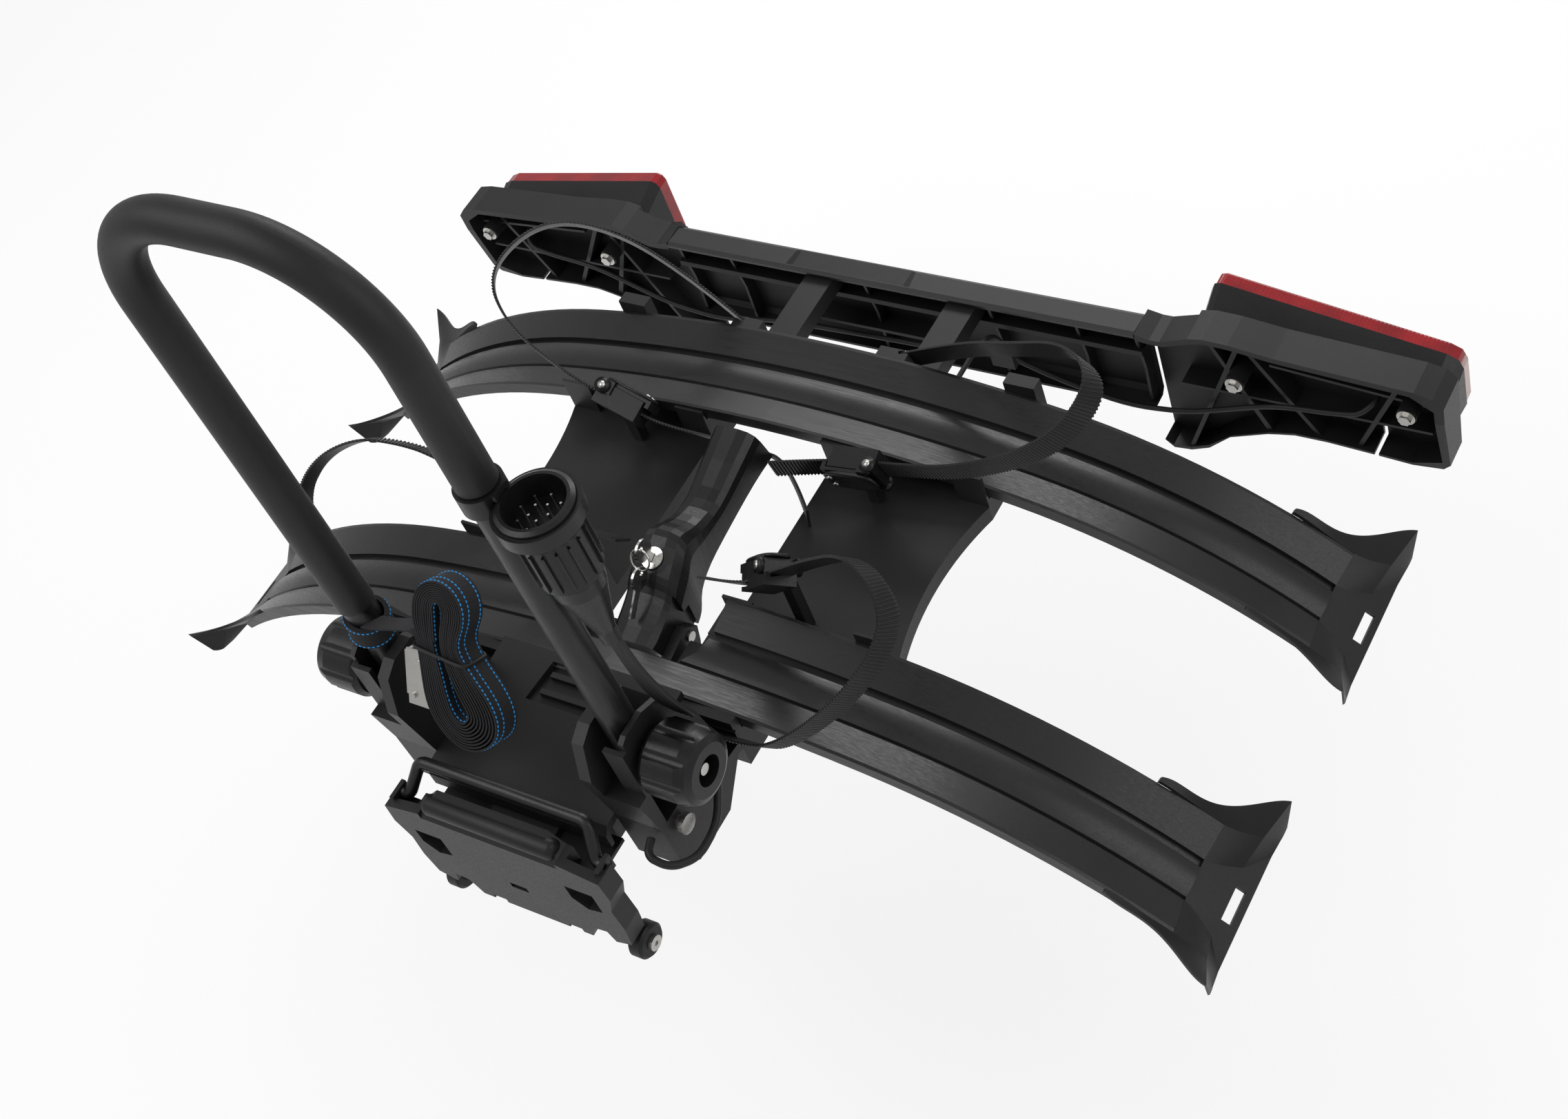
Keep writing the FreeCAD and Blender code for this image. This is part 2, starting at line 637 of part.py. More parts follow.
# Cheeks: the moulded uprights that hold the mast legs, the knobs and the tilt pin
def make_cheek():
    body = new_body("right_cheek")
    bottom = s.cheek_bottom
    top = s.cheek_top
    outline = [
        (s.cheek_front + 12, top + 8), (s.cheek_front - 3, top), (s.cheek_front - 14, s.mast_pivot),
        (s.cheek_front - 4, 0), (s.cheek_front - 3, bottom + 16), (s.cheek_front + 14, bottom),
        (-100, bottom), (s.cheek_rear - 6, bottom + 34), (s.cheek_rear, -40), (s.cheek_rear, -30),
        (s.cheek_rear - 17, -28), (s.cheek_rear - 17, 8), (-84, s.recess_floor + 8), (-108, top),
        (-128, top + 8)]
    pad_loop(body, "YZ_Plane", outline, s.cheek_inner, s.cheek_outer - s.cheek_inner)
    leg_in = s.mast_half - s.tube_radius - s.side_gap
    leg_out = s.mast_half + s.tube_radius + s.side_gap
    front = s.mast_y - s.tube_radius - 8.5
    cut_loop(body, "YZ_Plane", [(front, s.recess_floor), (-40, s.recess_floor), (-40, top + 20),
                                (front, top + 20)], leg_in, leg_out - leg_in)
    cut_loop(body, "YZ_Plane", [(s.cheek_front - 30, s.recess_floor), (front + 1, s.recess_floor),
                                (front + 1, top + 20), (s.cheek_front - 30, top + 20)],
             leg_in, s.leg_slit)
    cut_loop(body, "YZ_Plane", [(s.cheek_front - 30, s.cheek_top - 4), (front + 1, s.cheek_top - 4),
                                (front + 1, top + 20), (s.cheek_front - 30, top + 20)],
             leg_in + 1, s.cheek_outer - leg_in)
    cut_loop(body, "YZ_Plane", [(s.cheek_front - 30, s.recess_floor), (s.cheek_front, s.recess_floor),
                                (s.cheek_front, top + 20), (s.cheek_front - 30, top + 20)],
             leg_in, s.cheek_outer - leg_in + 1)
    floor = s.recess_floor - s.cheek_wall
    cut_loop(body, "YZ_Plane", [(front, s.tilt_z + 14), (-90, s.tilt_z + 14), (-90, floor), (front, floor)],
             s.cheek_inner + s.cheek_wall, 60)
    cut_loop(body, "YZ_Plane", [(front, bottom + 6), (-104, bottom + 6), (-80, s.tilt_z - 14),
                                (front, s.tilt_z - 14)], s.cheek_inner + s.cheek_wall,
             s.cheek_outer - s.cheek_inner - s.cheek_wall - s.cheek_wall)
    cut_circle(body, "YZ_Plane", (s.tilt_y, s.tilt_z), s.tilt_pin + s.running_gap, s.cheek_inner - 1, 60)
    cut_circle(body, "YZ_Plane", (s.mast_y, s.mast_pivot), s.bolt_radius + 0.3, s.cheek_inner - 1, 60)
    finish(body, "right_cheek")
    mirrored(body, "left_cheek")


def make_floor_panel():
    """The panel between the cheeks, with its recessed grille near the rail."""
    body = new_body("floor_panel")
    low = s.panel_low
    high = s.panel_low + s.panel_rise
    half = s.cheek_inner - 0.3
    pad_loop(body, "YZ_Plane", [
        (s.panel_front, low), (s.panel_front - 6, low - 8), (s.panel_front - 6, low - 22),
        (s.panel_front - 2, low - 22), (s.panel_front - 1, low - 12),
        (s.panel_front + 6, low - s.panel_thick), (s.panel_rear, high - s.panel_thick),
        (s.panel_rear, high)], -half, half * 2)
    cut_loop(body, "XY_Plane", [(-40, -100), (24, -100), (30, -62), (-34, -62)], low + s.panel_rise * 0.5 - 2,
             40)
    for offset in (0, 17):
        pad_loop(body, "XY_Plane", box_loop(-30, 20, -92 + offset, -87 + offset),
                 low + s.panel_rise * 0.5 - 3, 6)
    finish(body, "floor_panel")


# Coupling: the fixed root that sits on the towball and carries lever, jaw, foot plate and tilt pin
def make_coupling():
    body = new_body("coupling_head")
    half = s.head_half
    pad_loop(body, "YZ_Plane", [
        (s.head_front, -30), (s.tilt_y - 14, s.tilt_z - 12), (s.tilt_y + 14, s.tilt_z - 16),
        (s.ball_y + 10, -44), (s.head_rear, -62), (s.head_rear, s.head_bottom + 14),
        (s.head_rear - 14, s.head_bottom), (s.head_front + 24, s.head_bottom), (s.head_front, -86)],
             -half, half * 2)
    pad_circle(body, "YZ_Plane", (s.tilt_y, s.tilt_z), s.tilt_pin + 4, -s.cheek_inner + 1,
               s.cheek_inner * 2 - 2)
    pad_loop(body, "YZ_Plane", [
        (s.tilt_y - 8, s.tilt_z - 6), (s.tilt_y + 8, s.tilt_z - 6), (s.tilt_y + 8, s.head_bottom + 40),
        (s.tilt_y - 8, s.head_bottom + 40)], -half - 26, half * 2 + 52)
    for side in (-1, 1):
        start = s.arm_inner if side > 0 else -s.arm_outer
        pad_loop(body, "YZ_Plane", [
            (s.head_rear - 6, s.arm_low + 14), (s.arm_rise - 6, s.arm_low + 14),
            (s.arm_rise, s.lever_z + 4), (s.lever_y, s.lever_z + 12), (s.lever_y + 12, s.lever_z),
            (s.lever_y + 8, s.lever_z - 16), (s.arm_rise + 22, s.arm_low), (s.head_rear - 6, s.arm_low)],
                 start, s.arm_outer - s.arm_inner)
    dome = new_sketch(body, "YZ_Plane")
    reach = s.ball_radius + s.ball_play
    low = s.head_bottom - 4
    dome.addGeometry(Part.Arc(V(number(s.ball_y), number(s.ball_z + reach), 0),
                              V(number(s.ball_y) + number(reach) * math.sin(math.pi / 4),
                                number(s.ball_z) + number(reach) * math.cos(math.pi / 4), 0),
                              V(number(s.ball_y + reach), number(s.ball_z), 0)))
    dome.addGeometry(Part.LineSegment(V(number(s.ball_y + reach), number(s.ball_z), 0),
                                      V(number(s.ball_y + reach), number(low), 0)))
    dome.addGeometry(Part.LineSegment(V(number(s.ball_y + reach), number(low), 0),
                                      V(number(s.ball_y), number(low), 0)))
    dome.addGeometry(Part.LineSegment(V(number(s.ball_y), number(low), 0),
                                      V(number(s.ball_y), number(s.ball_z + reach), 0)))
    for first, end, after, start in ((0, 1, 1, 1), (1, 2, 2, 1), (2, 2, 3, 1), (3, 2, 0, 2)):
        dome.addConstraint(Sketcher.Constraint("Coincident", first, end, after, start))
    fix_point(dome, 0, 3, (s.ball_y, s.ball_z))
    fix_point(dome, 1, 1, (s.ball_y + reach, s.ball_z))
    fix_point(dome, 2, 1, (s.ball_y + reach, low))
    fix_point(dome, 3, 1, (s.ball_y, low))
    groove = body.newObject("PartDesign::Groove", "ball_socket")
    groove.Profile = dome
    axis = dome.addGeometry(Part.LineSegment(V(number(s.ball_y), -90, 0), V(number(s.ball_y), 10, 0)), True)
    fix_point(dome, axis, 1, (s.ball_y, -90))
    fix_point(dome, axis, 2, (s.ball_y, 10))
    groove.ReferenceAxis = (dome, ["Axis0"])
    groove.Angle = 360
    doc.recompute()
    cut_loop(body, "YZ_Plane", [
        (s.ball_y + 18, -79), (s.head_rear + 20, -64), (s.head_rear + 20, s.head_bottom - 2),
        (s.ball_y + 18, s.head_bottom - 2)], -s.arm_inner, s.arm_inner * 2)
    cut_circle(body, "YZ_Plane", (s.tilt_y, s.tilt_z), s.tilt_pin + 0.02, -s.cheek_inner - 1,
               s.cheek_inner * 2 + 2)
    cut_circle(body, "YZ_Plane", (s.lever_y, s.lever_z), s.lever_pin + 0.02, -60, 120)
    finish(body, "coupling_head")


def make_pins():
    pin = new_body("tilt_pin")
    end = s.cheek_outer + 4
    pad_circle(pin, "YZ_Plane", (s.tilt_y, s.tilt_z), s.tilt_pin, -end, end * 2)
    for start in (end - 0.01, -end - 5 + 0.01):
        pad_circle(pin, "YZ_Plane", (s.tilt_y, s.tilt_z), s.tilt_pin + 3, start, 5)
    finish(pin, "tilt_pin")
    lever_pin = new_body("lever_pin")
    pad_circle(lever_pin, "YZ_Plane", (s.lever_y, s.lever_z), s.lever_pin, -s.arm_outer - 2,
               s.arm_outer * 2 + 4)
    finish(lever_pin, "lever_pin")


LOCK_WAY = V(0, -0.3, 0.954).normalize()


def lock_point(distance):
    """A point on the lock's axis, at a distance outward from the lever's face."""
    return point(0, s.lock_y, s.lock_z) + LOCK_WAY * distance


# Sections of the clamp lever from the hinge to the grip's end: place on the side view's lower and upper line
LEVER_SECTIONS = [((0, -46), (-10, -14), 24), ((14, -52), (10, -8), 26), ((28, -52), (30, 1), 27),
                  ((41, -50), (43, 13), 27), ((54, -45), (60, 23), 26), ((68, -33), (78, 29), 23),
                  ((92, -27), (100, 16), 20),
                  ((130, -22), (130, 10), 19.5), ((174, -15), (166, 20), 21.5), ((206, -14), (196, 29), 22.5)]


def lever_section(low, high, half):
    """A rounded section of the lever, square to its side view, flat below and crowned on top."""
    low = V(0, *low)
    high = V(0, *high)
    up = high - low
    shape = [(-1.0, 0.0), (-1.0, 0.62), (-0.93, 0.82), (-0.7, 0.95), (-0.3, 1.0), (0.3, 1.0), (0.7, 0.95),
             (0.93, 0.82), (1.0, 0.62), (1.0, 0.0)]
    return polygon([(half * x, (low + up * z).y, (low + up * z).z) for x, z in shape])


def sections_between(sections, steps):
    """The sections with others put between them on smooth curves through the given ones."""
    rows = [[*low, *high, half] for low, high, half in sections]
    rows = [rows[0]] + rows + [rows[-1]]
    every = []
    for i in range(1, len(rows) - 2):
        for u in [step / steps for step in range(steps)]:
            every.append([(2 * b + (c - a) * u + (2 * a - 5 * b + 4 * c - d) * u * u
                           + (3 * b - a - 3 * c + d) * u ** 3) / 2 for a, b, c, d in zip(*rows[i - 1:i + 3])])
    every.append(rows[-1])
    return [(row[:2], row[2:4], row[4]) for row in every]


def make_lever():
    sections = [lever_section(*section) for section in sections_between(LEVER_SECTIONS, 3)]
    body = Part.makeLoft(sections, True, True)
    notch = block(-40, 40, -30, 10, -70, -46)
    body = body.cut(notch)
    hub = rod(point(-s.lever_half, s.lever_y, s.lever_z), point(s.lever_half, s.lever_y, s.lever_z), 13)
    slot = number(s.arm_inner) - 0.5
    for side in (-1, 1):
        near, far = sorted((slot * side, 40 * side))
        body = body.cut(block(near, far, -40, 44, -70, number(s.lever_z) + 18))
        body = body.cut(block(near, far, -40, 36, -70, 60))
    body = body.fuse(hub).removeSplitter()
    body = body.cut(rod(point(-40, s.lever_y, s.lever_z), point(40, s.lever_y, s.lever_z),
                        s.lever_pin + s.running_gap))
    seat = Part.makeCylinder(number(s.lock_radius) + 0.3, number(s.lock_depth) + 24,
                             lock_point(-number(s.lock_depth)), LOCK_WAY)
    free_form("clamp_lever", body.cut(seat))


def make_jaw():
    body = new_body("clamp_jaw")
    pad_loop(body, "YZ_Plane", [
        (s.head_rear - 7, -77), (s.head_rear + 6, -71), (s.head_rear + 8, -96), (s.head_rear - 8.4, -98)],
             -s.arm_inner + 0.5, s.arm_inner * 2 - 1)
    finish(body, "clamp_jaw")


# Foot plate with its hooked ears, and the bail whose ends turn in them
def make_foot_plate():
    body = new_body("foot_plate")
    half = s.foot_half
    inner = 70.0
    pad_loop(body, "XZ_Plane", [
        (-57, s.foot_top + 1), (57, s.foot_top + 1), (inner, s.foot_top - 12), (half + 6, -6), (half + 8, -30),
        (half, -52), (half + 2, -80), (half - 2, -106), (84, -112), (80, -98), (66, -100), (58, s.foot_bottom),
        (-58, s.foot_bottom), (-66, -100), (-80, -98), (-84, -112), (-half + 2, -106), (-half - 2, -80),
        (-half, -52), (-half - 8, -30), (-half - 6, -6), (-inner, s.foot_top - 12)],
             -s.foot_back, s.foot_back - s.foot_front)
    bevel = s.foot_top - 20
    cut_loop(body, "YZ_Plane", [(s.foot_front - 1, bevel), (s.foot_front - 1, s.foot_top + 5),
                                (s.foot_back - 3, s.foot_top + 5)], -70, 140)
    for side in (-1, 1):
        ear = 76.0 if side > 0 else -half - 2
        cut_loop(body, "YZ_Plane", [(s.ear_y - 9, s.ear_z - 9), (s.foot_back + 2, s.ear_z - 9),
                                    (s.foot_back + 2, 30), (s.ear_y - 9, 30)], ear, half + 2 - 76.0)
        window = 64.0 if side > 0 else -92.0
        cut_loop(body, "XZ_Plane", [(window, -34), (window + 28, -34), (window + 28, -60),
                                    (window + 12, -64), (window, -52)], -s.foot_back - 1, 40)
    cut_loop(body, "XZ_Plane", [(-9, -71), (9, -71), (9, -78), (-9, -78)], -s.foot_back - 1, 40)
    for start in (-46.0, 34.0):
        cut_loop(body, "XZ_Plane", box_loop(start, start + 14, s.foot_bottom - 1, s.foot_bottom + 5),
                 -s.foot_back + 12, 20)
    for start in (-88.0, s.head_half + 0.5):
        pad_loop(body, "YZ_Plane", [
            (s.foot_back - 1, -38), (s.tilt_y - 22, -38), (s.tilt_y - 22, -34), (s.foot_back - 1, -34)],
                 start, 87.5 - s.head_half)
    for side in (-1, 1):
        outer = s.ear_x + 5 if side > 0 else -s.ear_x - 9
        pad_loop(body, "YZ_Plane", [
            (s.foot_back - 6, s.ear_z - 9.5), (s.ear_y + 7, s.ear_z - 9.5), (s.ear_y + 7, s.ear_z + 7),
            (s.foot_back - 14, s.ear_z + 7)], outer, 4)
        lug = s.wheel_x - s.wheel_width / 2 - 4.5 if side > 0 else -s.wheel_x + s.wheel_width / 2 + 0.5
        pad_loop(body, "YZ_Plane", [
            (s.foot_front + 6, -88), (s.foot_back, -88), (s.wheel_y + 8, s.wheel_z),
            (s.wheel_y + 4, s.wheel_z - 8), (s.wheel_y - 4, s.wheel_z - 8), (s.wheel_y - 8, s.wheel_z)],
                 lug, 4)
    for side in (-1, 1):
        outer = s.ear_x + 4 if side > 0 else -s.ear_x - 10
        cut_circle(body, "YZ_Plane", (s.ear_y, s.ear_z), s.bail_radius + s.running_gap, outer, 6)
        lug = s.wheel_x - s.wheel_width / 2 - 5 if side > 0 else -s.wheel_x + s.wheel_width / 2
        cut_circle(body, "YZ_Plane", (s.wheel_y, s.wheel_z), s.axle_radius + 0.02, lug, 5)
    finish(body, "foot_plate")


def make_bail():
    end_x = s.ear_x + 8.5
    shoulder = s.ear_x - 8
    points = [point(end_x, s.ear_y, s.ear_z), point(shoulder + 6, s.ear_y, s.ear_z),
              point(shoulder - 4, s.bail_y, s.bail_z), point(-shoulder + 4, s.bail_y, s.bail_z),
              point(-shoulder - 6, s.ear_y, s.ear_z), point(-end_x, s.ear_y, s.ear_z)]
    free_form("release_bail", tube_along(points, s.bail_radius, "release bail", 9.0))


def make_wheels():
    for hand, side in (("right", 1), ("left", -1)):
        body = new_body(f"{hand}_wheel")
        sketch = new_sketch(body, "XZ_Plane")
        half = s.wheel_width / 2
        draw_loop(sketch, [
            (-half, s.axle_radius + s.running_gap), (half, s.axle_radius + s.running_gap),
            (half, s.wheel_radius - 2.5), (half - 2.5, s.wheel_radius), (-half + 2.5, s.wheel_radius),
            (-half, s.wheel_radius - 2.5)])
        add_revolution(body, sketch, "H_Axis")
        finish(body, f"{hand}_wheel", s.wheel_x * side, s.wheel_y, s.wheel_z)
    bolts = []
    for side in (-1, 1):
        inner = number(s.wheel_x - s.wheel_width / 2 - 7)
        outer = number(s.wheel_x + s.wheel_width / 2)
        centre = V(0, number(s.wheel_y), number(s.wheel_z))
        shank = rod(centre + V(inner, 0, 0), centre + V(outer + 0.4, 0, 0), s.axle_radius)
        head = rod(centre + V(outer + 0.4, 0, 0), centre + V(outer + 4, 0, 0), s.axle_radius + 3)
        head = head.cut(Part.Face(Part.Wire(Part.makePolygon([
            centre + V(outer + 1.6, 2.6 * math.cos(a), 2.6 * math.sin(a))
            for a in [i * math.pi / 3 for i in range(7)]]))).extrude(V(5, 0, 0)))
        bolt = shank.fuse(head)
        bolts.append(bolt if side > 0 else bolt.mirror(V(0, 0, 0), V(1, 0, 0)))
    free_form("wheel_axle_bolts", Part.makeCompound(bolts))


# Mast: a bent tube, its foam-dark sleeve, and the knobs that clamp its legs
def mast_points(right_end, left_end):
    half = s.mast_half
    return [point(half, s.mast_y, right_end), point(half, s.mast_y, s.mast_top),
            point(-half, s.mast_y, s.mast_top), point(-half, s.mast_y, left_end)]


def make_mast():
    low = s.mast_pivot - s.leg_end
    tube = tube_along(mast_points(low, low), s.tube_radius, "mast tube", s.mast_bend,
                      s.tube_radius - s.tube_wall)
    for side in (-1, 1):
        centre = point(s.mast_half * side, s.mast_y, s.mast_pivot)
        reach = V(20, 0, 0)
        tube = tube.cut(rod(centre - reach, centre + reach, s.bolt_radius + s.running_gap))
    free_form("mast_tube", tube)
    sleeve = tube_along(mast_points(s.sleeve_right, s.sleeve_left), s.sleeve_radius, "mast sleeve",
                        s.mast_bend, s.tube_radius + 0.1)
    free_form("mast_sleeve", sleeve)


def make_knob():
    """A lobed clamping knob on its threaded bolt."""
    body = new_body("right_knob")
    sketch = new_sketch(body, "XZ_Plane")
    face = s.knob_depth
    draw_loop(sketch, [
        (0, s.bolt_radius + 0.3), (face - 20, s.bolt_radius + 0.3), (face - 20, s.knob_recess),
        (face, s.knob_recess), (face, s.knob_radius - 9), (face - 3, s.knob_radius - 3),
        (face - 12, s.knob_radius), (8, s.knob_radius), (3, s.knob_radius - 4), (0, s.knob_radius - 12)])
    add_revolution(body, sketch, "H_Axis")
    scallop = new_sketch(body, "YZ_Plane", 6)
    draw_circle(scallop, (s.knob_radius + s.lobe_radius - 2.2, 0), s.lobe_radius)
    cut = add_pocket(body, scallop, s.knob_depth)
    ring = body.newObject("PartDesign::PolarPattern", "lobes")
    ring.Originals = [cut]
    ring.Axis = (scallop, ["N_Axis"])
    ring.Angle = 360
    bind(ring, Occurrences=s.knob_lobes)
    body.Tip = ring
    doc.recompute()
    finish(body, "right_knob", s.knob_back, s.mast_y, s.mast_pivot)
    mirrored(body, "left_knob")
    bolts = []
    for side in (-1, 1):
        centre = point(0, s.mast_y, s.mast_pivot)
        inner = number(s.cheek_inner)
        outer = number(s.knob_back + s.knob_depth - 20 + s.bolt_stick + 8)
        shank = rod(centre + V(inner - 0.3, 0, 0), centre + V(outer, 0, 0), s.bolt_radius)
        head = rod(centre + V(inner - 4.3, 0, 0), centre + V(inner - 0.3, 0, 0), s.bolt_radius + 3.5)
        bolt = shank.fuse(head)
        bolts.append(bolt if side > 0 else bolt.mirror(V(0, 0, 0), V(1, 0, 0)))
    free_form("knob_bolts", Part.makeCompound(bolts))


# Plug in its holder on the right leg, and the lead from its boot down to the mast's pivot
def plug_place(height):
    return point(s.mast_half + s.plug_out, s.mast_y + s.plug_back, s.plug_face + height)


def make_plug():
    """Turned body from the boot's end up to the collar, with the grip's fins and the contact pins."""
    axis = plug_place(0)
    collar = number(s.plug_radius)
    profile = [(7, -154), (8, -139), (20, -88), (21, -76), (24, -72), (24, -26), (collar - 2, -23),
               (collar, -20), (collar, -2), (collar - 3, 0), (23.5, 0), (23.5, -22), (0, -22), (0, -154)]
    outline = Part.Wire(Part.makePolygon([axis + V(r, 0, z) for r, z in profile + profile[:1]]))
    plug = Part.Face(outline).revolve(axis, V(0, 0, 1), 360)
    fins = 16
    for i in range(fins):
        fin = Part.makeBox(3.0, 2.0, 38, V(23.0, -1.0, -68))
        fin.rotate(V(0, 0, 0), V(0, 0, 1), 360 * i / fins)
        fin.translate(axis)
        plug = plug.fuse(fin)
    free_form("plug", plug.removeSplitter())
    pins = []
    for ring, count in ((15.5, 8), (7.5, 5)):
        for i in range(count):
            angle = 2 * math.pi * i / count
            place = axis + V(ring * math.cos(angle), ring * math.sin(angle), -22)
            pins.append(Part.makeCylinder(0.9, 11, place))
    free_form("plug_pins", Part.makeCompound(pins))


def make_plug_holder():
    """A clip round the leg with a ring that holds the plug by its collar."""
    axis = plug_place(0)
    tube = number(s.tube_radius)
    collar = number(s.plug_radius)
    top = number(s.sleeve_right) - 2
    leg = point(s.mast_half, s.mast_y, 0)
    clip = Part.makeCylinder(tube + 4.5, 18, leg + V(0, 0, top - 18))
    ring = Part.makeCylinder(collar + 3.4, 12, axis + V(0, 0, -16))
    clip = clip.fuse(ring).fuse(block(leg.x, axis.x - 20, leg.y - 8, leg.y + 8, axis.z - 16, top))
    clip = clip.cut(Part.makeCylinder(collar + 0.3, 60, axis + V(0, 0, -59)))
    clip = clip.cut(Part.makeCylinder(collar - 4, 60, axis + V(0, 0, -59)).fuse(
        Part.makeCylinder(collar - 4, 30, axis)))
    clip = clip.cut(Part.makeCylinder(tube + 0.1, 200, leg + V(0, 0, top - 150)))
    free_form("plug_holder", clip.removeSplitter())


def make_lead_runs():
    """Four side by side runs of the lead from the plug's boot to behind the knob."""
    boot = plug_place(-154.3)
    runs = []
    for i in range(4):
        spread = (i - 1.5) * 5.6
        runs.append(tube_along([
            boot + V(spread * 0.5, abs(spread) * 0.25, 0), boot + V(spread * 0.6 - 1, 5, -42),
            boot + V(spread - 7, 17, -100), boot + V(spread * 0.9 - 11, 33, -142)], 2.6, f"lead run {i}"))
    free_form("lead_runs", Part.makeCompound(runs))


# Webbing strap: a loop round the left leg, its rolled bundle and the cam buckle
def make_webbing():
    leg = point(-s.mast_half, s.mast_y, 0)
    ring = Part.makeCylinder(number(s.sleeve_radius) + 2.4, 25, leg + V(0, 0, 118))
    ring = ring.cut(Part.makeCylinder(number(s.tube_radius) + 0.2, 30, leg + V(0, 0, 116)))
    ring.rotate(leg + V(0, 0, 130), V(0, 1, 0), 14)
    ring = ring.cut(Part.makeCylinder(number(s.tube_radius) + 0.2, 80, leg + V(0, 0, 90)))
    free_form("webbing_loop", ring)


# Lamp bar: a centre moulding and two ends, which carry the lamps
def make_bar_centre():
    """A channel open to the front: crest, back, two ledges, a shelf and cross webs."""
    body = new_body("lamp_bar_centre")
    half = s.bar_seam - 0.3
    wall = s.bar_wall
    face = s.bar_face
    back = s.bar_back
    top = s.bar_crest
    low = s.bar_low
    pad_loop(body, "YZ_Plane", [
        (face, top - 6), (face - 1, top - 2), (face + 3, top), (back - 6, top - 1), (back, top - 6),
        (back, low + 6), (back - 5, low), (face + 8, low - 1), (face + 8, low + wall - 1),
        (back - wall - 4, low + wall), (back - wall, low + 8), (back - wall, top - 37),
        (face + 9, top - 34), (face + 6, top - 36), (face + 7, top - 31), (back - wall, top - 32),
        (back - wall, top - 8), (face + wall, top - 4)], -half, half * 2)
    for x in (-252, -190, -35, 100, 190, 249):
        pad_loop(body, "YZ_Plane", [
            (face + wall + 4, top - 3), (back - wall + 1, top - 7), (back - wall + 1, low + 3),
            (face + 12, low + 1), (face + 14, top - 60)], x, wall)
    cut_loop(body, "XZ_Plane", [(-121, top + 3), (-110, top - 3), (14, top - 3), (32, top + 3)],
             -back - 1, back - face - 3)
    pad_loop(body, "XZ_Plane", [(-110, low + 30), (20, low + 30), (20, low + 34), (-110, low + 34)],
             -back + 1, back - face - 8)
    finish(body, "lamp_bar_centre")


BAR_END_TOP = [(0, -50), (14, -54), (24, -54), (52, -43), (66, -40), (90, -41), (131, -47), (254, -56),
               (270, -60), (279, -70)]
BAR_END_BOTTOM = [(277, -152), (270, -160), (242, -163), (165, -156), (135, -156), (108, -163), (69, -180),
                  (45, -203), (26, -212), (8, -214), (0, -205)]


def make_bar_end():
    """A deep tray, open to the front, with curved ribs and the bosses of the lamp bolts."""
    body = new_body("lamp_bar_right_end")
    seam = s.bar_seam + 0.3
    wall = s.bar_wall
    back = s.bar_end_back - 6
    low = s.bar_low
    outline = [(seam + x, z) for x, z in BAR_END_TOP + BAR_END_BOTTOM]
    pad_loop(body, "XZ_Plane", outline, -back, back - s.bar_face)
    cut_loop(body, "YZ_Plane", [(back - 7, -30), (back + 1, -30), (back + 1, -64), (back - 4, -54)],
             seam - 1, 52)
    cut_loop(body, "YZ_Plane", [(s.bar_face - 1, -250), (s.bar_face - 1, -90), (s.bar_face, -90),
                                (s.bar_face + 9, low - 2), (s.bar_face + 12, -250)], seam - 1, 300)
    top = [(-2, -58), (13, -60), (26, -60), (54, -49), (68, -46), (90, -47), (131, -53), (250, -62), (270, -76)]
    bottom = [(270, -150), (242, -160), (165, -153), (135, -153), (110, -160), (71, -177), (45, -199),
              (26, -208), (8, -210), (-2, -203)]
    cut_loop(body, "XZ_Plane", [(seam + x, z) for x, z in top + bottom], -back + wall, 60)
    rib_front = s.bar_face + 12
    rib_depth = back - wall - rib_front + 0.5
    start = -back + wall - 0.5
    ribs = [
        [(60, -50), (64, -50), (112, -158), (107, -160)], [(92, -50), (97, -50), (30, -204), (25, -206)],
        [(92, -50), (97, -50), (160, -154), (155, -154)], [(236, -62), (241, -62), (196, -156), (192, -155)],
        [(30, -118), (262, -118), (262, -121), (30, -121)], [(120, -70), (262, -84), (262, -87), (120, -73)]]
    for rib in ribs:
        pad_loop(body, "XZ_Plane", [(seam + x, z) for x, z in rib], start, rib_depth)
    for x, z in ((s.lamp_inner + s.bolt_inner, -91), (s.lamp_outer - s.bolt_outer, -88)):
        pad_circle(body, "XZ_Plane", (x, z), 9, start, back - wall - s.bar_face)
        cut_circle(body, "XZ_Plane", (x, z), s.lamp_bolt + 0.2, -back - 1, back - s.bar_face + 2)
    cut_loop(body, "XZ_Plane", box_loop(seam + 208, seam + 212, low - 8, low + 14), -back - 1, 60)
    finish(body, "lamp_bar_right_end")
    mirrored(body, "lamp_bar_left_end")


def lamp_outline(edge, step=0):
    """The lamp's front view, its top falling outward; edge insets it and step lowers its top."""
    fall = sine(s.lamp_slope) / cosine(s.lamp_slope)
    left = s.lamp_inner + edge
    right = s.lamp_outer - edge
    top_left = s.lamp_top - edge - step
    top_right = s.lamp_top - edge - step - (s.lamp_outer - s.lamp_inner) * fall
    low_left = s.lamp_top - s.lamp_height + edge
    low_right = s.lamp_top - s.lamp_height + edge - (s.lamp_outer - s.lamp_inner) * fall * 0.6
    return [(left, top_left - 9), (left + 3, top_left - 3), (left + 9, top_left - 1),
            (right - 14, top_right + 1), (right - 4, top_right - 4), (right, top_right - 14),
            (right, low_right + 9), (right - 9, low_right), (left + 8, low_left), (left, low_left + 8)]


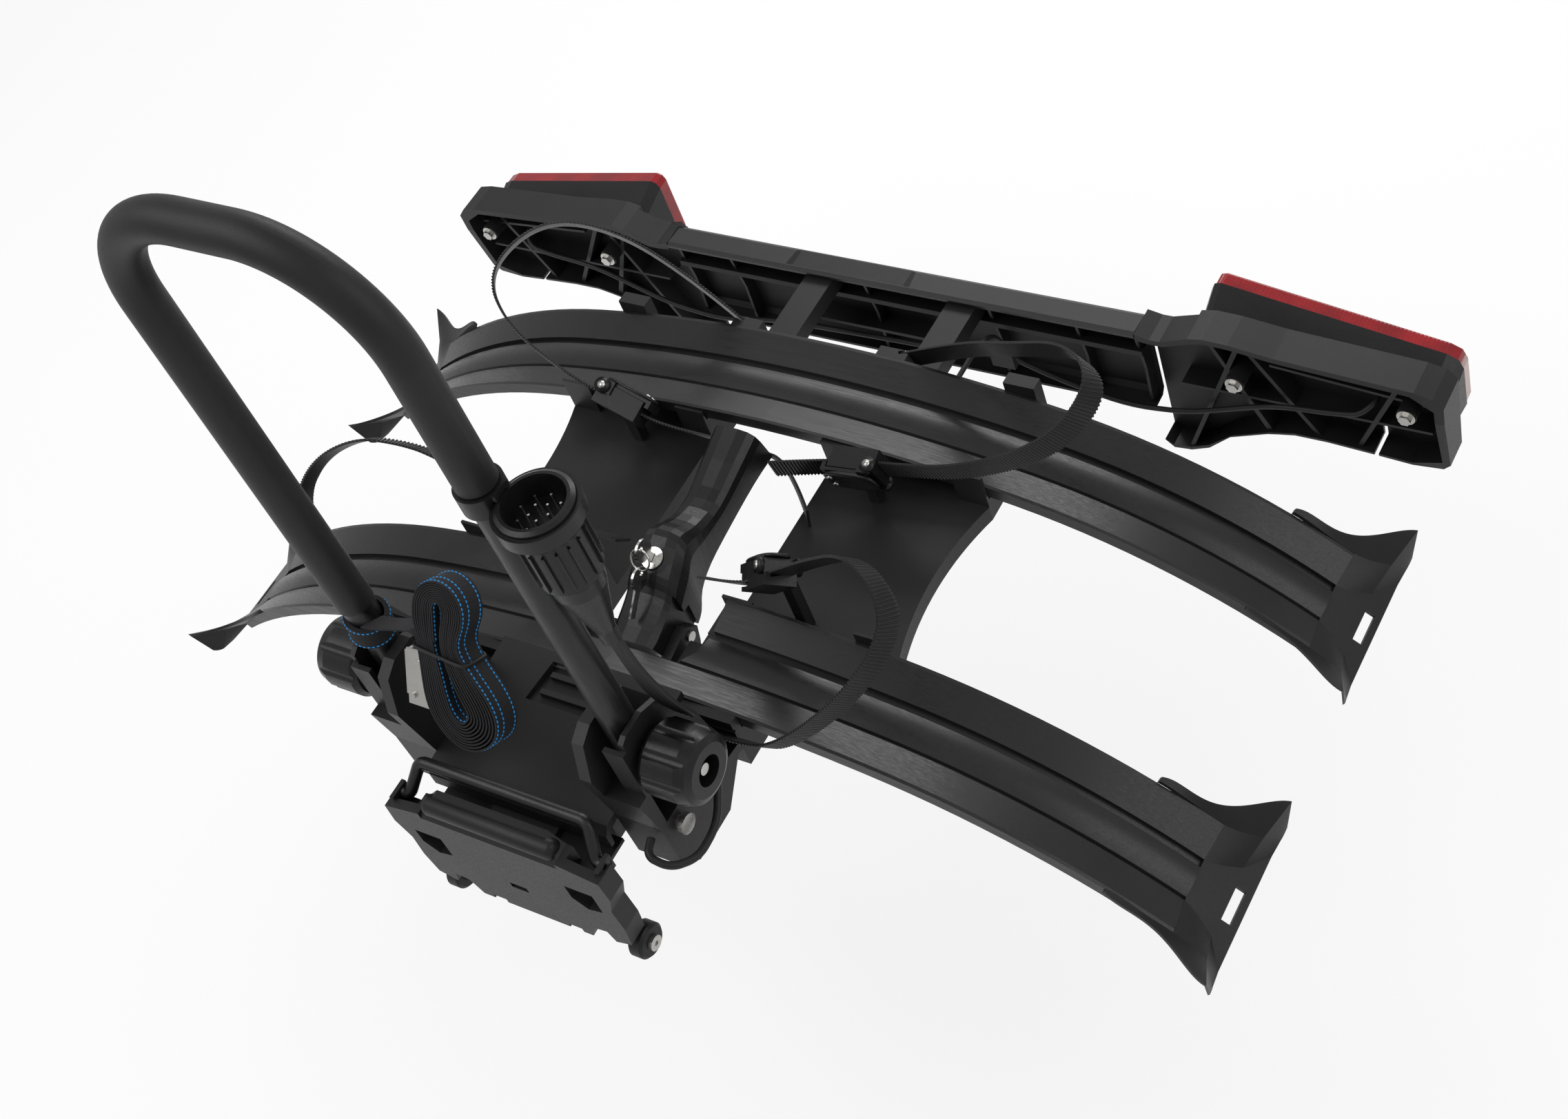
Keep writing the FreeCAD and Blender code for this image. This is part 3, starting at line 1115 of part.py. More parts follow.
def make_lamps():
    front = s.lamp_front + 0.2
    back = s.lamp_back
    housing = new_body("right_lamp_housing")
    near = new_sketch(housing, "XZ_Plane", -front)
    draw_loop(near, lamp_outline(1.5, s.lamp_step))
    far = new_sketch(housing, "XZ_Plane", -back)
    draw_loop(far, lamp_outline(0))
    hood = housing.newObject("PartDesign::AdditiveLoft", "hood")
    hood.Profile = near
    hood.Sections = [far]
    hood.Ruled = True
    doc.recompute()
    for x, z in ((s.lamp_inner + s.bolt_inner, -91), (s.lamp_outer - s.bolt_outer, -88)):
        cut_circle(housing, "XZ_Plane", (x, z), s.lamp_bolt + 0.05, -front - 12, 20)
    finish(housing, "right_lamp_housing")
    mirrored(housing, "left_lamp_housing")
    lens = new_body("right_lamp_lens")
    pad_loop(lens, "XZ_Plane", lamp_outline(1), -back - s.lens_depth, s.lens_depth - 0.3)
    round_edges(lens, 2.5, lambda edge: edge.BoundBox.YMin > number(back + s.lens_depth) - 0.1)
    cut_loop(lens, "XZ_Plane", lamp_outline(3.5), -back - 3, 4)
    finish(lens, "right_lamp_lens")
    mirrored(lens, "left_lamp_lens")
    bolts = []
    for x, z in ((s.lamp_inner + s.bolt_inner, -91), (s.lamp_outer - s.bolt_outer, -88)):
        for side in (-1, 1):
            face = point(x * side, s.bar_face, z) - V(0, 0.2, 0)
            bolt = rod(face, point(x * side, front + 10, z), s.lamp_bolt)
            bolt = bolt.fuse(rod(face - V(0, 1.6, 0), face, 8.2))
            head = polygon([(number(x) * side + 5.6 * math.cos(a), face.y - 1.6, z + 5.6 * math.sin(a))
                            for a in [i * math.pi / 3 for i in range(6)]])
            bolts.append(bolt.fuse(Part.Face(head).extrude(V(0, -4.2, 0))))
    free_form("lamp_bolts", Part.makeCompound(bolts))


# Ratchet straps for the wheels: each runs from its eyelet through the air back to its buckle
STRAPS = {
    "rear_right": [(86, 345, -19), (157, 340, 20), (232, 310, 70), (312, 280, 124), (345, 252, 118),
                   (311, 220, 71), (222, 210, 22), (153, 205, 11), (114, 204, 6), (39, 184, 0)],
    "rear_left": [(-86, 345, -19), (-120, 342, 30), (-175, 325, 105), (-235, 300, 130), (-285, 255, 95),
                  (-255, 225, 62), (-190, 210, 30), (-125, 204, 10), (-98, 205, -6), (-47, 214, -20),
                  (0, 216, -22), (40, 205, -24), (82, 160, -26)],
    "front_right": [(84, -68, -11), (158, -67, -20), (197, -62, 0), (255, -40, 55), (280, 0, 90),
                    (275, 20, 115), (240, 40, 130), (185, 50, 89), (114, 60, 28), (97, 53, 20), (55, 49, 20)],
    "front_left": [(-84, -68, -11), (-200, -64, -5), (-300, -45, 20), (-332, -10, 60), (-300, 10, 105),
                   (-255, 30, 125), (-225, 45, 110), (-194, 50, 98), (-114, 60, 34), (-62, 63, 20),
                   (-37, 63, 20)],
}
BUCKLE_AT = {"rear_right": 8, "rear_left": 7, "front_right": 8, "front_left": 8}


def loop_way(points):
    """The direction square to the mean plane of a loop, pointing up."""
    total = V(0, 0, 0)
    for i, here in enumerate(points):
        total += here.cross(points[(i + 1) % len(points)])
    total.normalize()
    return total if total.z > 0 else -total


def strap_points(name):
    points = [V(*p) for p in STRAPS[name]]
    return points, loop_way(points[:BUCKLE_AT[name] + 1])


def buckle_frame(name):
    """Centre and axes of a buckle: along the strap, through the strap, along the strap's width."""
    points, way = strap_points(name)
    i = BUCKLE_AT[name]
    run = (points[i] - points[i - 1]).normalize()
    way = (way - run * way.dot(run)).normalize()
    through = way.cross(run)
    return points[i] - run * 6, run, through, way


def to_frame(shape, centre, run, through, way):
    shape.Placement = FreeCAD.Placement(centre, FreeCAD.Rotation(run, through, way, "ZXY"))
    return shape


def strap_clearance(name):
    points, way = strap_points(name)
    return band_along(points, way, s.strap_width + 1.0, s.strap_thick + 1.0, f"{name} clearance")


def make_straps():
    for name in STRAPS:
        points, way = strap_points(name)
        free_form(f"{name}_strap", band_along(points, way, s.strap_width, s.strap_thick, f"{name} strap"))
    bolts = []
    for name in STRAPS:
        points, way = strap_points(name)
        run = (points[1] - points[0]).normalize()
        out = run.cross(way).normalize()
        to_wall = -1 if name.startswith("rear") else 1
        if out.y * to_wall > 0:
            out = -out
        start = points[0]
        wall = number(s.plate_rear) + 0.3 if to_wall < 0 else number(s.cheek_rear)
        half = number(s.strap_thick) / 2 + 0.3
        head = rod(start + out * half, start + out * (half + 4), 6)
        spacer = rod(start - out * half, start - out * 14, 5)
        beyond = block(-600, 600, *sorted((wall, wall + to_wall * 60)), -60, 60)
        bolts.append(Part.makeCompound([head, spacer.cut(beyond)]))
    free_form("strap_bolts", Part.makeCompound(bolts))


def make_buckles():
    """Ratchet buckles: a box on a post, a lever hinged at its outer end, and the hinge pin."""
    length = number(s.buckle_length)
    deep = number(s.buckle_depth)
    tall = number(s.buckle_tall)
    plate = number(s.plate_top)
    hinge_x = -length / 2 + 4
    bases = []
    for name in STRAPS:
        frame = buckle_frame(name)
        out = 1 if name.startswith("rear") else -1
        hinge_y = out * (deep / 2 - 4)
        box = block(-length / 2, length / 2, -deep / 2, deep / 2, -tall / 2, tall / 2)
        box = box.cut(block(-length / 2 + 8, length / 2 + 1, *sorted((out * 5, out * 12)), -tall / 2 + 2.5,
                            tall / 2 - 2.5))
        pin = Part.makeCylinder(2.5, tall + 4, V(hinge_x, hinge_y, -tall / 2 - 2))
        base = to_frame(box.fuse(pin), *frame)
        foot = frame[0] - frame[3] * (tall / 2 + 1)
        post = block(foot.x - 5, foot.x + 5, foot.y - 5, foot.y + 5, plate + 0.3, foot.z + 7)
        trim = to_frame(block(-80, 80, -80, 80, -tall / 2 + 1, 90), *frame)
        bases.append(base.fuse(post.cut(trim)).cut(strap_clearance(name)))
        wall = sorted((out * (deep / 2 + 0.4), out * (deep / 2 + 3.4)))
        pieces = [block(hinge_x + 3.2, length / 2 + 6, wall[0], wall[1], -tall / 2 + 1, tall / 2 - 1),
                  block(length / 2 + 2, length / 2 + 6, *sorted((out * 6, out * (deep / 2 + 3.4))),
                        -tall / 2 + 1, tall / 2 - 1),
                  block(hinge_x + 3.2, hinge_x + 10, wall[0], wall[1], -tall / 2 - 2, tall / 2 + 2)]
        for z in (-tall / 2 - 2, tall / 2 + 0.4):
            pieces.append(block(hinge_x - 4, hinge_x + 10, *sorted((out * 1, wall[1] if out > 0 else wall[0])),
                                z, z + 1.6))
        lever = pieces[0].multiFuse(pieces[1:])
        lever = lever.cut(Part.makeCylinder(2.55, tall + 10, V(hinge_x, hinge_y, -tall / 2 - 5)))
        lever = to_frame(lever.removeSplitter(), *frame).cut(strap_clearance(name))
        free_form(f"{name}_buckle_lever", lever)
    free_form("buckle_bases", Part.makeCompound(bases))


# Lock in the lever with a key in it, and a second key on the ring
def key_shape(bow_radius, length, blade_from):
    """A flat key in the XY plane: bow around zero with its hole, blade along +X."""
    bow = Part.makeCylinder(bow_radius, 2.2, V(0, 0, -1.1))
    neck = block(bow_radius - 3, blade_from + 3, -3.6, 3.6, -1.1, 1.1)
    blade = block(blade_from, length - bow_radius, -3.4, 3.4, -1.0, 1.0)
    key = bow.fuse(neck).fuse(blade)
    return key.cut(Part.makeCylinder(2.6, 8, V(-bow_radius + 5, 0, -4)))


def make_lock():
    cylinder = Part.makeCylinder(number(s.lock_radius), number(s.lock_depth) + 1.2,
                                 lock_point(0.3 - number(s.lock_depth)), LOCK_WAY)
    slot = to_frame(block(-60, 60, -4.2, 4.2, -1.5, 1.5), lock_point(0), LOCK_WAY, V(1, 0, 0).cross(LOCK_WAY),
                    V(1, 0, 0))
    free_form("lock_cylinder", cylinder.cut(slot))
    bow = number(s.key_bow)
    key = key_shape(bow, number(s.key_length) - 20, bow + 3)
    inward = -LOCK_WAY
    to_frame(key, lock_point(bow + 8), inward, V(1, 0, 0).cross(inward), V(1, 0, 0))
    free_form("lock_key", key)
    hole = lock_point(bow + 8 + bow - 5)
    drop = V(0, -0.52, -0.855).normalize()
    centre = hole + drop * (number(s.ring_radius) + 1.6)
    ring = Part.makeTorus(number(s.ring_radius), number(s.ring_wire), centre, drop.cross(V(1, 0, 0)))
    free_form("key_ring", ring)
    low = centre + drop * (number(s.ring_radius) + 1.6)
    hang = V(0, -0.769, -0.64).normalize()
    second = key_shape(bow, number(s.key_length), bow + 1)
    to_frame(second, low + hang * (bow - 5), hang, V(1, 0, 0).cross(hang), V(1, 0, 0))
    free_form("hanging_key", second)


# Rolled webbing strap: one unbroken band wound to a waisted roll, with its cam buckle
OUTER_ROLL = [(-18, 62), (-3, 57), (6, 42), (4, 24), (0, 8), (12, -10), (27, -26), (36, -45), (30, -65), (8, -77),
              (-16, -71), (-32, -54), (-38, -34), (-40, -12), (-43, 8), (-47, 26), (-43, 46), (-32, 58)]
INNER_ROLL = [(-20, 43), (-17, 41), (-15.5, 37), (-16.5, 28), (-18.5, 8), (-12, -14), (-4, -30), (4, -42),
              (4.5, -48), (0, -52.5), (-6, -50), (-11, -42), (-15, -30), (-19, -14), (-24, 8), (-24.5, 28),
              (-24.5, 37), (-23, 41)]


def roll_curve(contour):
    curve = Part.BSplineCurve()
    curve.interpolate(Points=[V(u, v, 0) for u, v in contour], PeriodicFlag=True,
                      Parameters=[float(i) for i in range(len(contour) + 1)])
    return curve


def make_webbing_roll():
    outer = roll_curve(OUTER_ROLL)
    inner = roll_curve(INNER_ROLL)
    turns = int(number(s.bundle_turns))
    steps = 27
    centre_line = []
    for i in range(turns * steps + 1):
        share = i / (turns * steps)
        part = (i % steps) / steps + 0.78
        part = part - int(part)
        here = inner.value(inner.FirstParameter + part * (inner.LastParameter - inner.FirstParameter))
        there = outer.value(outer.FirstParameter + part * (outer.LastParameter - outer.FirstParameter))
        centre_line.append(here + (there - here) * share)
    centre_line = centre_line + [V(-60, 10, 0), V(-78, 4, 0), V(-99.8, 1, 0)]
    half = number(s.webbing_thick) / 2
    left = []
    right = []
    for i, here in enumerate(centre_line):
        before = centre_line[max(i - 1, 0)]
        after = centre_line[min(i + 1, len(centre_line) - 1)]
        side = V(0, 0, 1).cross(after - before).normalize() * half
        left.append(here + side)
        right.append(here - side)
    least = min((a - b).Length for i, a in enumerate(centre_line[:-4]) for b in
                centre_line[i + steps - 2:i + steps + 3]) - 2 * half
    print(f"webbing roll: {turns} turns, least gap near {least:.2f}")
    outline = Part.Wire(Part.makePolygon(left + right[::-1] + [left[0]]))
    width = number(s.webbing_width)
    roll = Part.Face(outline).extrude(V(0, 0, width))
    roll.translate(V(0, 0, -width / 2))
    free_form("webbing_bundle", lean(roll))
    body = block(-62.5, -41.2, -58, -10, -15, -13.4).fuse(block(-62.5, -41.2, -58, -10, 13.4, 15))
    body = body.fuse(block(-42.7, -41.2, -58, -10, -15, 15))
    body = body.fuse(Part.makeCylinder(2.5, 34, V(-57, -50, -17))).fuse(Part.makeCylinder(2.5, 34, V(-49, -20, -17)))
    cam = Part.makeCylinder(5.5, 25, V(-57, -50, -12.5)).fuse(block(-67, -64, -52, -14, -12, 12))
    cam = cam.fuse(block(-65, -55, -54, -46, -12, 12))
    free_form("cam_buckle", lean(body.fuse(cam).removeSplitter()))


def lean(shape):
    """Turns a shape from the roll's own plane to the plane in which the roll hangs."""
    way = FreeCAD.Rotation(V(1, 0, 0), number(s.bundle_lean))
    shape.Placement = FreeCAD.Placement(point(0, s.bundle_y, s.bundle_z), way)
    return shape


# Leads: the loop behind the knob into the cheek, and the lamp lead under the deck to both lamps
def make_leads():
    loop = tube_along([V(140.7, -98, 28), V(140.7, -97, 8), V(146, -102, -16), V(158, -132, -32),
                       V(158, -164, -34), V(147, -184, -24), V(128, -185, -16), V(124, -170.3, -14)],
                      s.lead_radius, "lead loop")
    free_form("lead_loop", loop)
    under = -63.2 - number(s.lamp_lead_radius)
    right = tube_along([V(112, -84, -62), V(112, -64, under), V(112, 410, under), V(112, 441, under - 12), V(120, 444, -112), V(160, 452, -140),
                       V(229, 453, -158), V(290, 453, -150), V(330, 453, -134), V(378, 453, -115),
                       V(430, 453, -110), V(455, 454, -106), V(466, 462, -98), V(468, 480.4, -96)],
                      s.lamp_lead_radius, "lamp lead right")
    left = tube_along([V(106, 444, -112), V(60, 447, -124), V(-60, 447, -128), V(-160, 452, -140),
                        V(-229, 453, -158), V(-290, 453, -150), V(-330, 453, -134), V(-378, 453, -115),
                       V(-430, 453, -110), V(-455, 454, -106), V(-466, 462, -98), V(-468, 480.4, -96)],
                       s.lamp_lead_radius, "lamp lead left")
    joint = block(102, 126, 438, 452, -122, -102)
    free_form("lamp_lead", right.fuse(left).fuse(joint))


def check_all():
    """Stops the build if any object of the document failed or a finished shape is not valid."""
    for item in doc.Objects:
        if "Invalid" in item.State or "Error" in item.State:
            raise ValueError(f"{item.Name} failed: {item.State}")
    for item in FINISHED:
        if item.Shape.isNull() or not item.Shape.isValid():
            raise ValueError(f"{item.Label} has no valid shape")


def main():
    make_rails()
    make_shoes()
    make_deck_plate()
    make_bracket()
    make_cheek()
    make_floor_panel()
    make_coupling()
    make_pins()
    make_lever()
    make_jaw()
    make_foot_plate()
    make_bail()
    make_wheels()
    make_mast()
    make_knob()
    make_plug()
    make_plug_holder()
    make_lead_runs()
    make_webbing()
    make_bar_centre()
    make_bar_end()
    make_lamps()
    make_straps()
    make_buckles()
    make_lock()
    make_webbing_roll()
    make_leads()
    doc.recompute()
    check_all()
    for item in FINISHED:
        item.Shape.exportStep(f"parts/{item.Label}.step")
    print(len(FINISHED), "sub-parts")


main()
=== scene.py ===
import json
import math
import bpy
from mathutils import Euler, Matrix, Vector


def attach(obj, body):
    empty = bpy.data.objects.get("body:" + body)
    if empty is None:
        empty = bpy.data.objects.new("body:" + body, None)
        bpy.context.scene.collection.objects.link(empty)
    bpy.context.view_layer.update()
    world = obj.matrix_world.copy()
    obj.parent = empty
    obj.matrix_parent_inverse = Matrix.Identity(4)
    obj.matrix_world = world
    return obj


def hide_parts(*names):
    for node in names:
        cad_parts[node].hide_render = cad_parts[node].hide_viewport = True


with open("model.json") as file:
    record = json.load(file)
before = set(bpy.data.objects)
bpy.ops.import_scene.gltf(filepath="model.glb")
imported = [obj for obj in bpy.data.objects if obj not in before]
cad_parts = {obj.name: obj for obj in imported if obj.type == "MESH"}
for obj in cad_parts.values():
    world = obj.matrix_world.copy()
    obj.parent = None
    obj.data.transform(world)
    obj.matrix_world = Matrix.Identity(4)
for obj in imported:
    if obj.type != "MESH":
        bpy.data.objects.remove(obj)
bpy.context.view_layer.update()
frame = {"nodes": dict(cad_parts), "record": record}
nodes = frame["nodes"]
scene = bpy.context.scene

# Camera at the photograph's place, turned about X, Y and Z in degrees
CAMERA_PLACE = (1.0576, -0.6455, 1.4909)
CAMERA_TURN = (39.50, 16.19, 29.58)
CAMERA_LENS = 52.57
CAMERA_SENSOR = 36.0


def make_camera():
    data = bpy.data.cameras.new("camera")
    data.sensor_width = CAMERA_SENSOR
    data.lens = CAMERA_LENS
    data.clip_start = 0.05
    data.clip_end = 50
    camera = bpy.data.objects.new("camera", data)
    scene.collection.objects.link(camera)
    turn = Euler([math.radians(angle) for angle in CAMERA_TURN])
    camera.matrix_world = Matrix.Translation(CAMERA_PLACE) @ turn.to_matrix().to_4x4()
    scene.camera = camera


make_camera()


# Materials
class Nodes:
    """Small helper that adds shader nodes and links them."""

    def __init__(self, name):
        self.material = bpy.data.materials.new(name)
        self.material.use_nodes = True
        self.tree = self.material.node_tree
        self.tree.nodes.clear()
        self.out = self.add("ShaderNodeOutputMaterial")
        self.shader = self.add("ShaderNodeBsdfPrincipled")
        self.link(self.shader.outputs[0], self.out.inputs[0])
        self.place = self.add("ShaderNodeTexCoord").outputs["Object"]

    def add(self, kind, **values):
        node = self.tree.nodes.new(kind)
        for key, value in values.items():
            if hasattr(node, key):
                setattr(node, key, value)
            else:
                node.inputs[key.replace("_", " ")].default_value = value
        return node

    def link(self, source, target):
        self.tree.links.new(source, target)

    def noise(self, scale, detail=4.0, stretch=None):
        node = self.add("ShaderNodeTexNoise", Scale=scale, Detail=detail, Roughness=0.6)
        source = self.place
        if stretch:
            mapping = self.add("ShaderNodeMapping", Scale=stretch)
            self.link(source, mapping.inputs["Vector"])
            source = mapping.outputs[0]
        self.link(source, node.inputs["Vector"])
        return node.outputs["Fac"]

    def spread(self, source, low, high, out_low, out_high):
        node = self.add("ShaderNodeMapRange")
        self.link(source, node.inputs["Value"])
        for name, value in (("From Min", low), ("From Max", high), ("To Min", out_low), ("To Max", out_high)):
            node.inputs[name].default_value = value
        return node.outputs[0]

    def mix(self, share, first, second):
        node = self.add("ShaderNodeMix", data_type="RGBA")
        self.link(share, node.inputs[0])
        for socket, value in ((node.inputs[6], first), (node.inputs[7], second)):
            if isinstance(value, tuple):
                socket.default_value = (*value, 1.0)
            else:
                self.link(value, socket)
        return node.outputs[2]

    def bump(self, height, strength, distance):
        node = self.add("ShaderNodeBump", Strength=strength, Distance=distance)
        self.link(height, node.inputs["Height"])
        self.link(node.outputs[0], self.shader.inputs["Normal"])

    def set(self, **values):
        for key, value in values.items():
            socket = self.shader.inputs[key.replace("_", " ")]
            if isinstance(value, (float, int)):
                socket.default_value = value
            else:
                self.link(value, socket)


def plastic(name, dark, light, roughness, grain=900.0, bump=0.12, edge=0.10):
    """Moulded plastic: fine grain, slight mottling, paler worn edges."""
    n = Nodes(name)
    mottle = n.noise(9.0, 5.0)
    base = n.mix(n.spread(mottle, 0.35, 0.7, 0.0, 1.0), dark, light)
    geometry = n.add("ShaderNodeNewGeometry")
    worn = n.spread(geometry.outputs["Pointiness"], 0.52, 0.6, 0.0, edge)
    base = n.mix(worn, base, tuple(min(1.0, c * 2.2 + 0.02) for c in light))
    fine = n.noise(grain, 3.0)
    n.set(Base_Color=base, Roughness=n.spread(fine, 0.3, 0.7, roughness - 0.06, roughness + 0.08),
          Specular_IOR_Level=0.3)
    n.bump(fine, bump, 0.0004)
    return n.material


def metal(name, colour, roughness, scratch=(60.0, 900.0, 900.0), bump=0.08, metallic=1.0):
    """Metal or a coat on it: fine streaks, with a slight cloud in its colour."""
    n = Nodes(name)
    streak = n.noise(1.0, 3.0, stretch=scratch)
    cloud = n.noise(14.0, 4.0)
    darker = tuple(c * 0.72 for c in colour)
    n.set(Base_Color=n.mix(n.spread(cloud, 0.3, 0.7, 0.0, 1.0), colour, darker), Metallic=metallic,
          Roughness=n.spread(streak, 0.3, 0.7, roughness - 0.07, roughness + 0.1))
    n.bump(streak, bump, 0.0003)
    return n.material


# The lens is clear beyond this distance from the middle, in metres
LENS_CLEAR_FROM = 0.5235
LENS_CLEAR_ALL = 0.5245


def lens_material():
    """Ribbed red lens, with its outermost side clear."""
    n = Nodes("red_lens")
    axes = n.add("ShaderNodeSeparateXYZ")
    n.link(n.place, axes.inputs[0])
    reach = n.add("ShaderNodeMath", operation="ABSOLUTE")
    n.link(axes.outputs[0], reach.inputs[0])
    ribs = n.add("ShaderNodeTexWave", Scale=90.0, Distortion=0.0)
    n.link(n.place, ribs.inputs["Vector"])
    mottle = n.spread(n.noise(30.0, 4.0), 0.35, 0.7, 0.0, 1.0)
    red = n.mix(mottle, (0.20, 0.004, 0.008), (0.34, 0.008, 0.012))
    clear = n.spread(reach.outputs[0], LENS_CLEAR_FROM, LENS_CLEAR_ALL, 0.0, 1.0)
    n.set(Base_Color=n.mix(clear, red, (0.42, 0.30, 0.27)),
          Roughness=n.spread(n.noise(400.0), 0.3, 0.7, 0.08, 0.16))
    n.bump(ribs.outputs["Fac"], 0.15, 0.0006)
    return n.material


RAIL = metal("rail_anodised", (0.014, 0.014, 0.015), 0.34, (8.0, 700.0, 700.0), bump=0.10, metallic=0.25)
CASTING = metal("black_casting", (0.010, 0.010, 0.011), 0.5, (300.0, 300.0, 300.0), bump=0.3, metallic=0.2)
STEEL = metal("zinc_steel", (0.62, 0.61, 0.58), 0.30)
CHROME = metal("bright_metal", (0.80, 0.79, 0.76), 0.18, (200.0, 200.0, 200.0), bump=0.05)
TUBE = metal("mast_coating", (0.010, 0.010, 0.011), 0.36, (500.0, 500.0, 40.0), bump=0.06, metallic=0.2)
SHOE = plastic("shoe_plastic", (0.007, 0.007, 0.0075), (0.012, 0.012, 0.013), 0.42, edge=0.12)
MOULDING = plastic("moulded_plastic", (0.006, 0.006, 0.0065), (0.011, 0.011, 0.012), 0.44, edge=0.12)
GLOSSY = plastic("satin_plastic", (0.006, 0.006, 0.0065), (0.010, 0.010, 0.011), 0.32, grain=500.0, bump=0.05)
SLEEVE = plastic("mast_sleeve", (0.008, 0.008, 0.0085), (0.013, 0.013, 0.014), 0.5, grain=1400.0, bump=0.2)
RUBBER = plastic("black_rubber", (0.008, 0.008, 0.008), (0.013, 0.013, 0.013), 0.5, grain=1200.0, bump=0.2)
WEBBING = plastic("webbing", (0.006, 0.006, 0.007), (0.013, 0.013, 0.015), 0.8, grain=1600.0, bump=0.5)
STRAP = plastic("strap_plastic", (0.009, 0.009, 0.0095), (0.015, 0.015, 0.016), 0.38, grain=700.0, bump=0.06)
STITCH = plastic("blue_thread", (0.010, 0.220, 0.600), (0.025, 0.330, 0.740), 0.6, grain=2000.0, bump=0.3,
                 edge=0.0)
LENS = lens_material()

FINISH = {
    "rail": RAIL, "shoe": SHOE, "moulding": MOULDING, "coupling_metal": CASTING, "lever": GLOSSY,
    "steel": STEEL, "bail": TUBE, "mast_tube": TUBE, "mast_sleeve": SLEEVE, "knob": GLOSSY, "wheel": RUBBER,
    "plug": GLOSSY, "brass": CHROME, "lead": RUBBER, "webbing": WEBBING, "strap": GLOSSY, "buckle": GLOSSY,
    "lamp_housing": GLOSSY, "lens": LENS, "chrome": CHROME,
}
for part in frame["record"]["subparts"]:
    mesh = nodes[part["node"]].data
    mesh.materials.clear()
    mesh.materials.append(FINISH[part["material_slot"]])


# Tools for building meshes in the model's frame, from sizes in the platform frame's millimetres
MM = 0.001
PLATFORM_ORIGIN = Vector((0.0, 0.110, 0.075))


def at(x, y, z):
    return Vector((x, y, z)) * MM + PLATFORM_ORIGIN


def new_piece(name, verts, faces, material, smooth=False):
    mesh = bpy.data.meshes.new(name)
    mesh.from_pydata([tuple(v) for v in verts], [], faces)
    mesh.validate()
    mesh.update()
    if smooth:
        mesh.shade_smooth()
    piece = bpy.data.objects.new(name, mesh)
    scene.collection.objects.link(piece)
    mesh.materials.append(material)
    return piece


def oval(middle, side, up, count, fullness=1.0):
    """Points round a middle, on its two half axes; a fullness below 1 makes the round squarer."""
    points = []
    for k in range(count):
        angle = 2 * math.pi * k / count
        across = math.copysign(abs(math.cos(angle)) ** fullness, math.cos(angle))
        along = math.copysign(abs(math.sin(angle)) ** fullness, math.sin(angle))
        points.append(middle + side * across + up * along)
    return points


def skin(rings, sides, closed=False, first=0):
    """Faces from ring to ring of a row of rings, with an end face on each end of an open row."""
    faces = []
    for ring in range(rings if closed else rings - 1):
        low = first + ring * sides
        high = first + (ring + 1) % rings * sides
        for k in range(sides):
            after = (k + 1) % sides
            faces.append((low + k, low + after, high + after, high + k))
    if not closed:
        last = first + (rings - 1) * sides
        faces.append(tuple(range(first + sides - 1, first - 1, -1)))
        faces.append(tuple(range(last, last + sides)))
    return faces


def tube(name, line, radius, material, closed=False, sides=12):
    """A round tube along a line of points."""
    verts = []
    count = len(line)
    up = Vector((0.31, 0.11, 0.94)).normalized()
    for i, here in enumerate(line):
        before = line[i - 1] if i or closed else line[0]
        after = line[(i + 1) % count] if i < count - 1 or closed else line[-1]
        run = (after - before).normalized()
        side = run.cross(up).normalized()
        up = side.cross(run).normalized()
        verts += oval(here, side * radius, up * radius, sides)
    return new_piece(name, verts, skin(count, sides, closed), material, True)


def even_line(dense, step):
    """The same line with points a fixed step apart."""
    reach = [0.0]
    for a, b in zip(dense, dense[1:]):
        reach.append(reach[-1] + (b - a).length)
    count = max(2, round(reach[-1] / step))
    line = []
    k = 0
    for i in range(count + 1):
        target = reach[-1] * i / count
        while k < len(reach) - 2 and reach[k + 1] < target:
            k += 1
        span = reach[k + 1] - reach[k]
        share = (target - reach[k]) / span if span else 0.0
        line.append(dense[k].lerp(dense[k + 1], share))
    return line


def smooth_line(points, step):
    """Evenly spaced points of a NURBS line that has the given control points."""
    curve = bpy.data.curves.new("guide", "CURVE")
    curve.dimensions = "3D"
    curve.resolution_u = 24
    spline = curve.splines.new("NURBS")
    spline.points.add(len(points) - 1)
    for control, place in zip(spline.points, points):
        control.co = (*place, 1.0)
    spline.order_u = 3
    spline.use_endpoint_u = True
    guide = bpy.data.objects.new("guide", curve)
    scene.collection.objects.link(guide)
    bpy.context.view_layer.update()
    mesh = bpy.data.meshes.new_from_object(guide.evaluated_get(bpy.context.evaluated_depsgraph_get()))
    dense = [v.co.copy() for v in mesh.vertices]
    bpy.data.objects.remove(guide)
    return even_line(dense, step)


def frames(line, way):
    """For each point of a line: its place, width direction and the direction square to the band."""
    result = []
    for i, here in enumerate(line):
        run = (line[min(i + 1, len(line) - 1)] - line[max(i - 1, 0)]).normalized()
        side = (way - run * way.dot(run)).normalized()
        result.append((here, side, run.cross(side)))
    return result


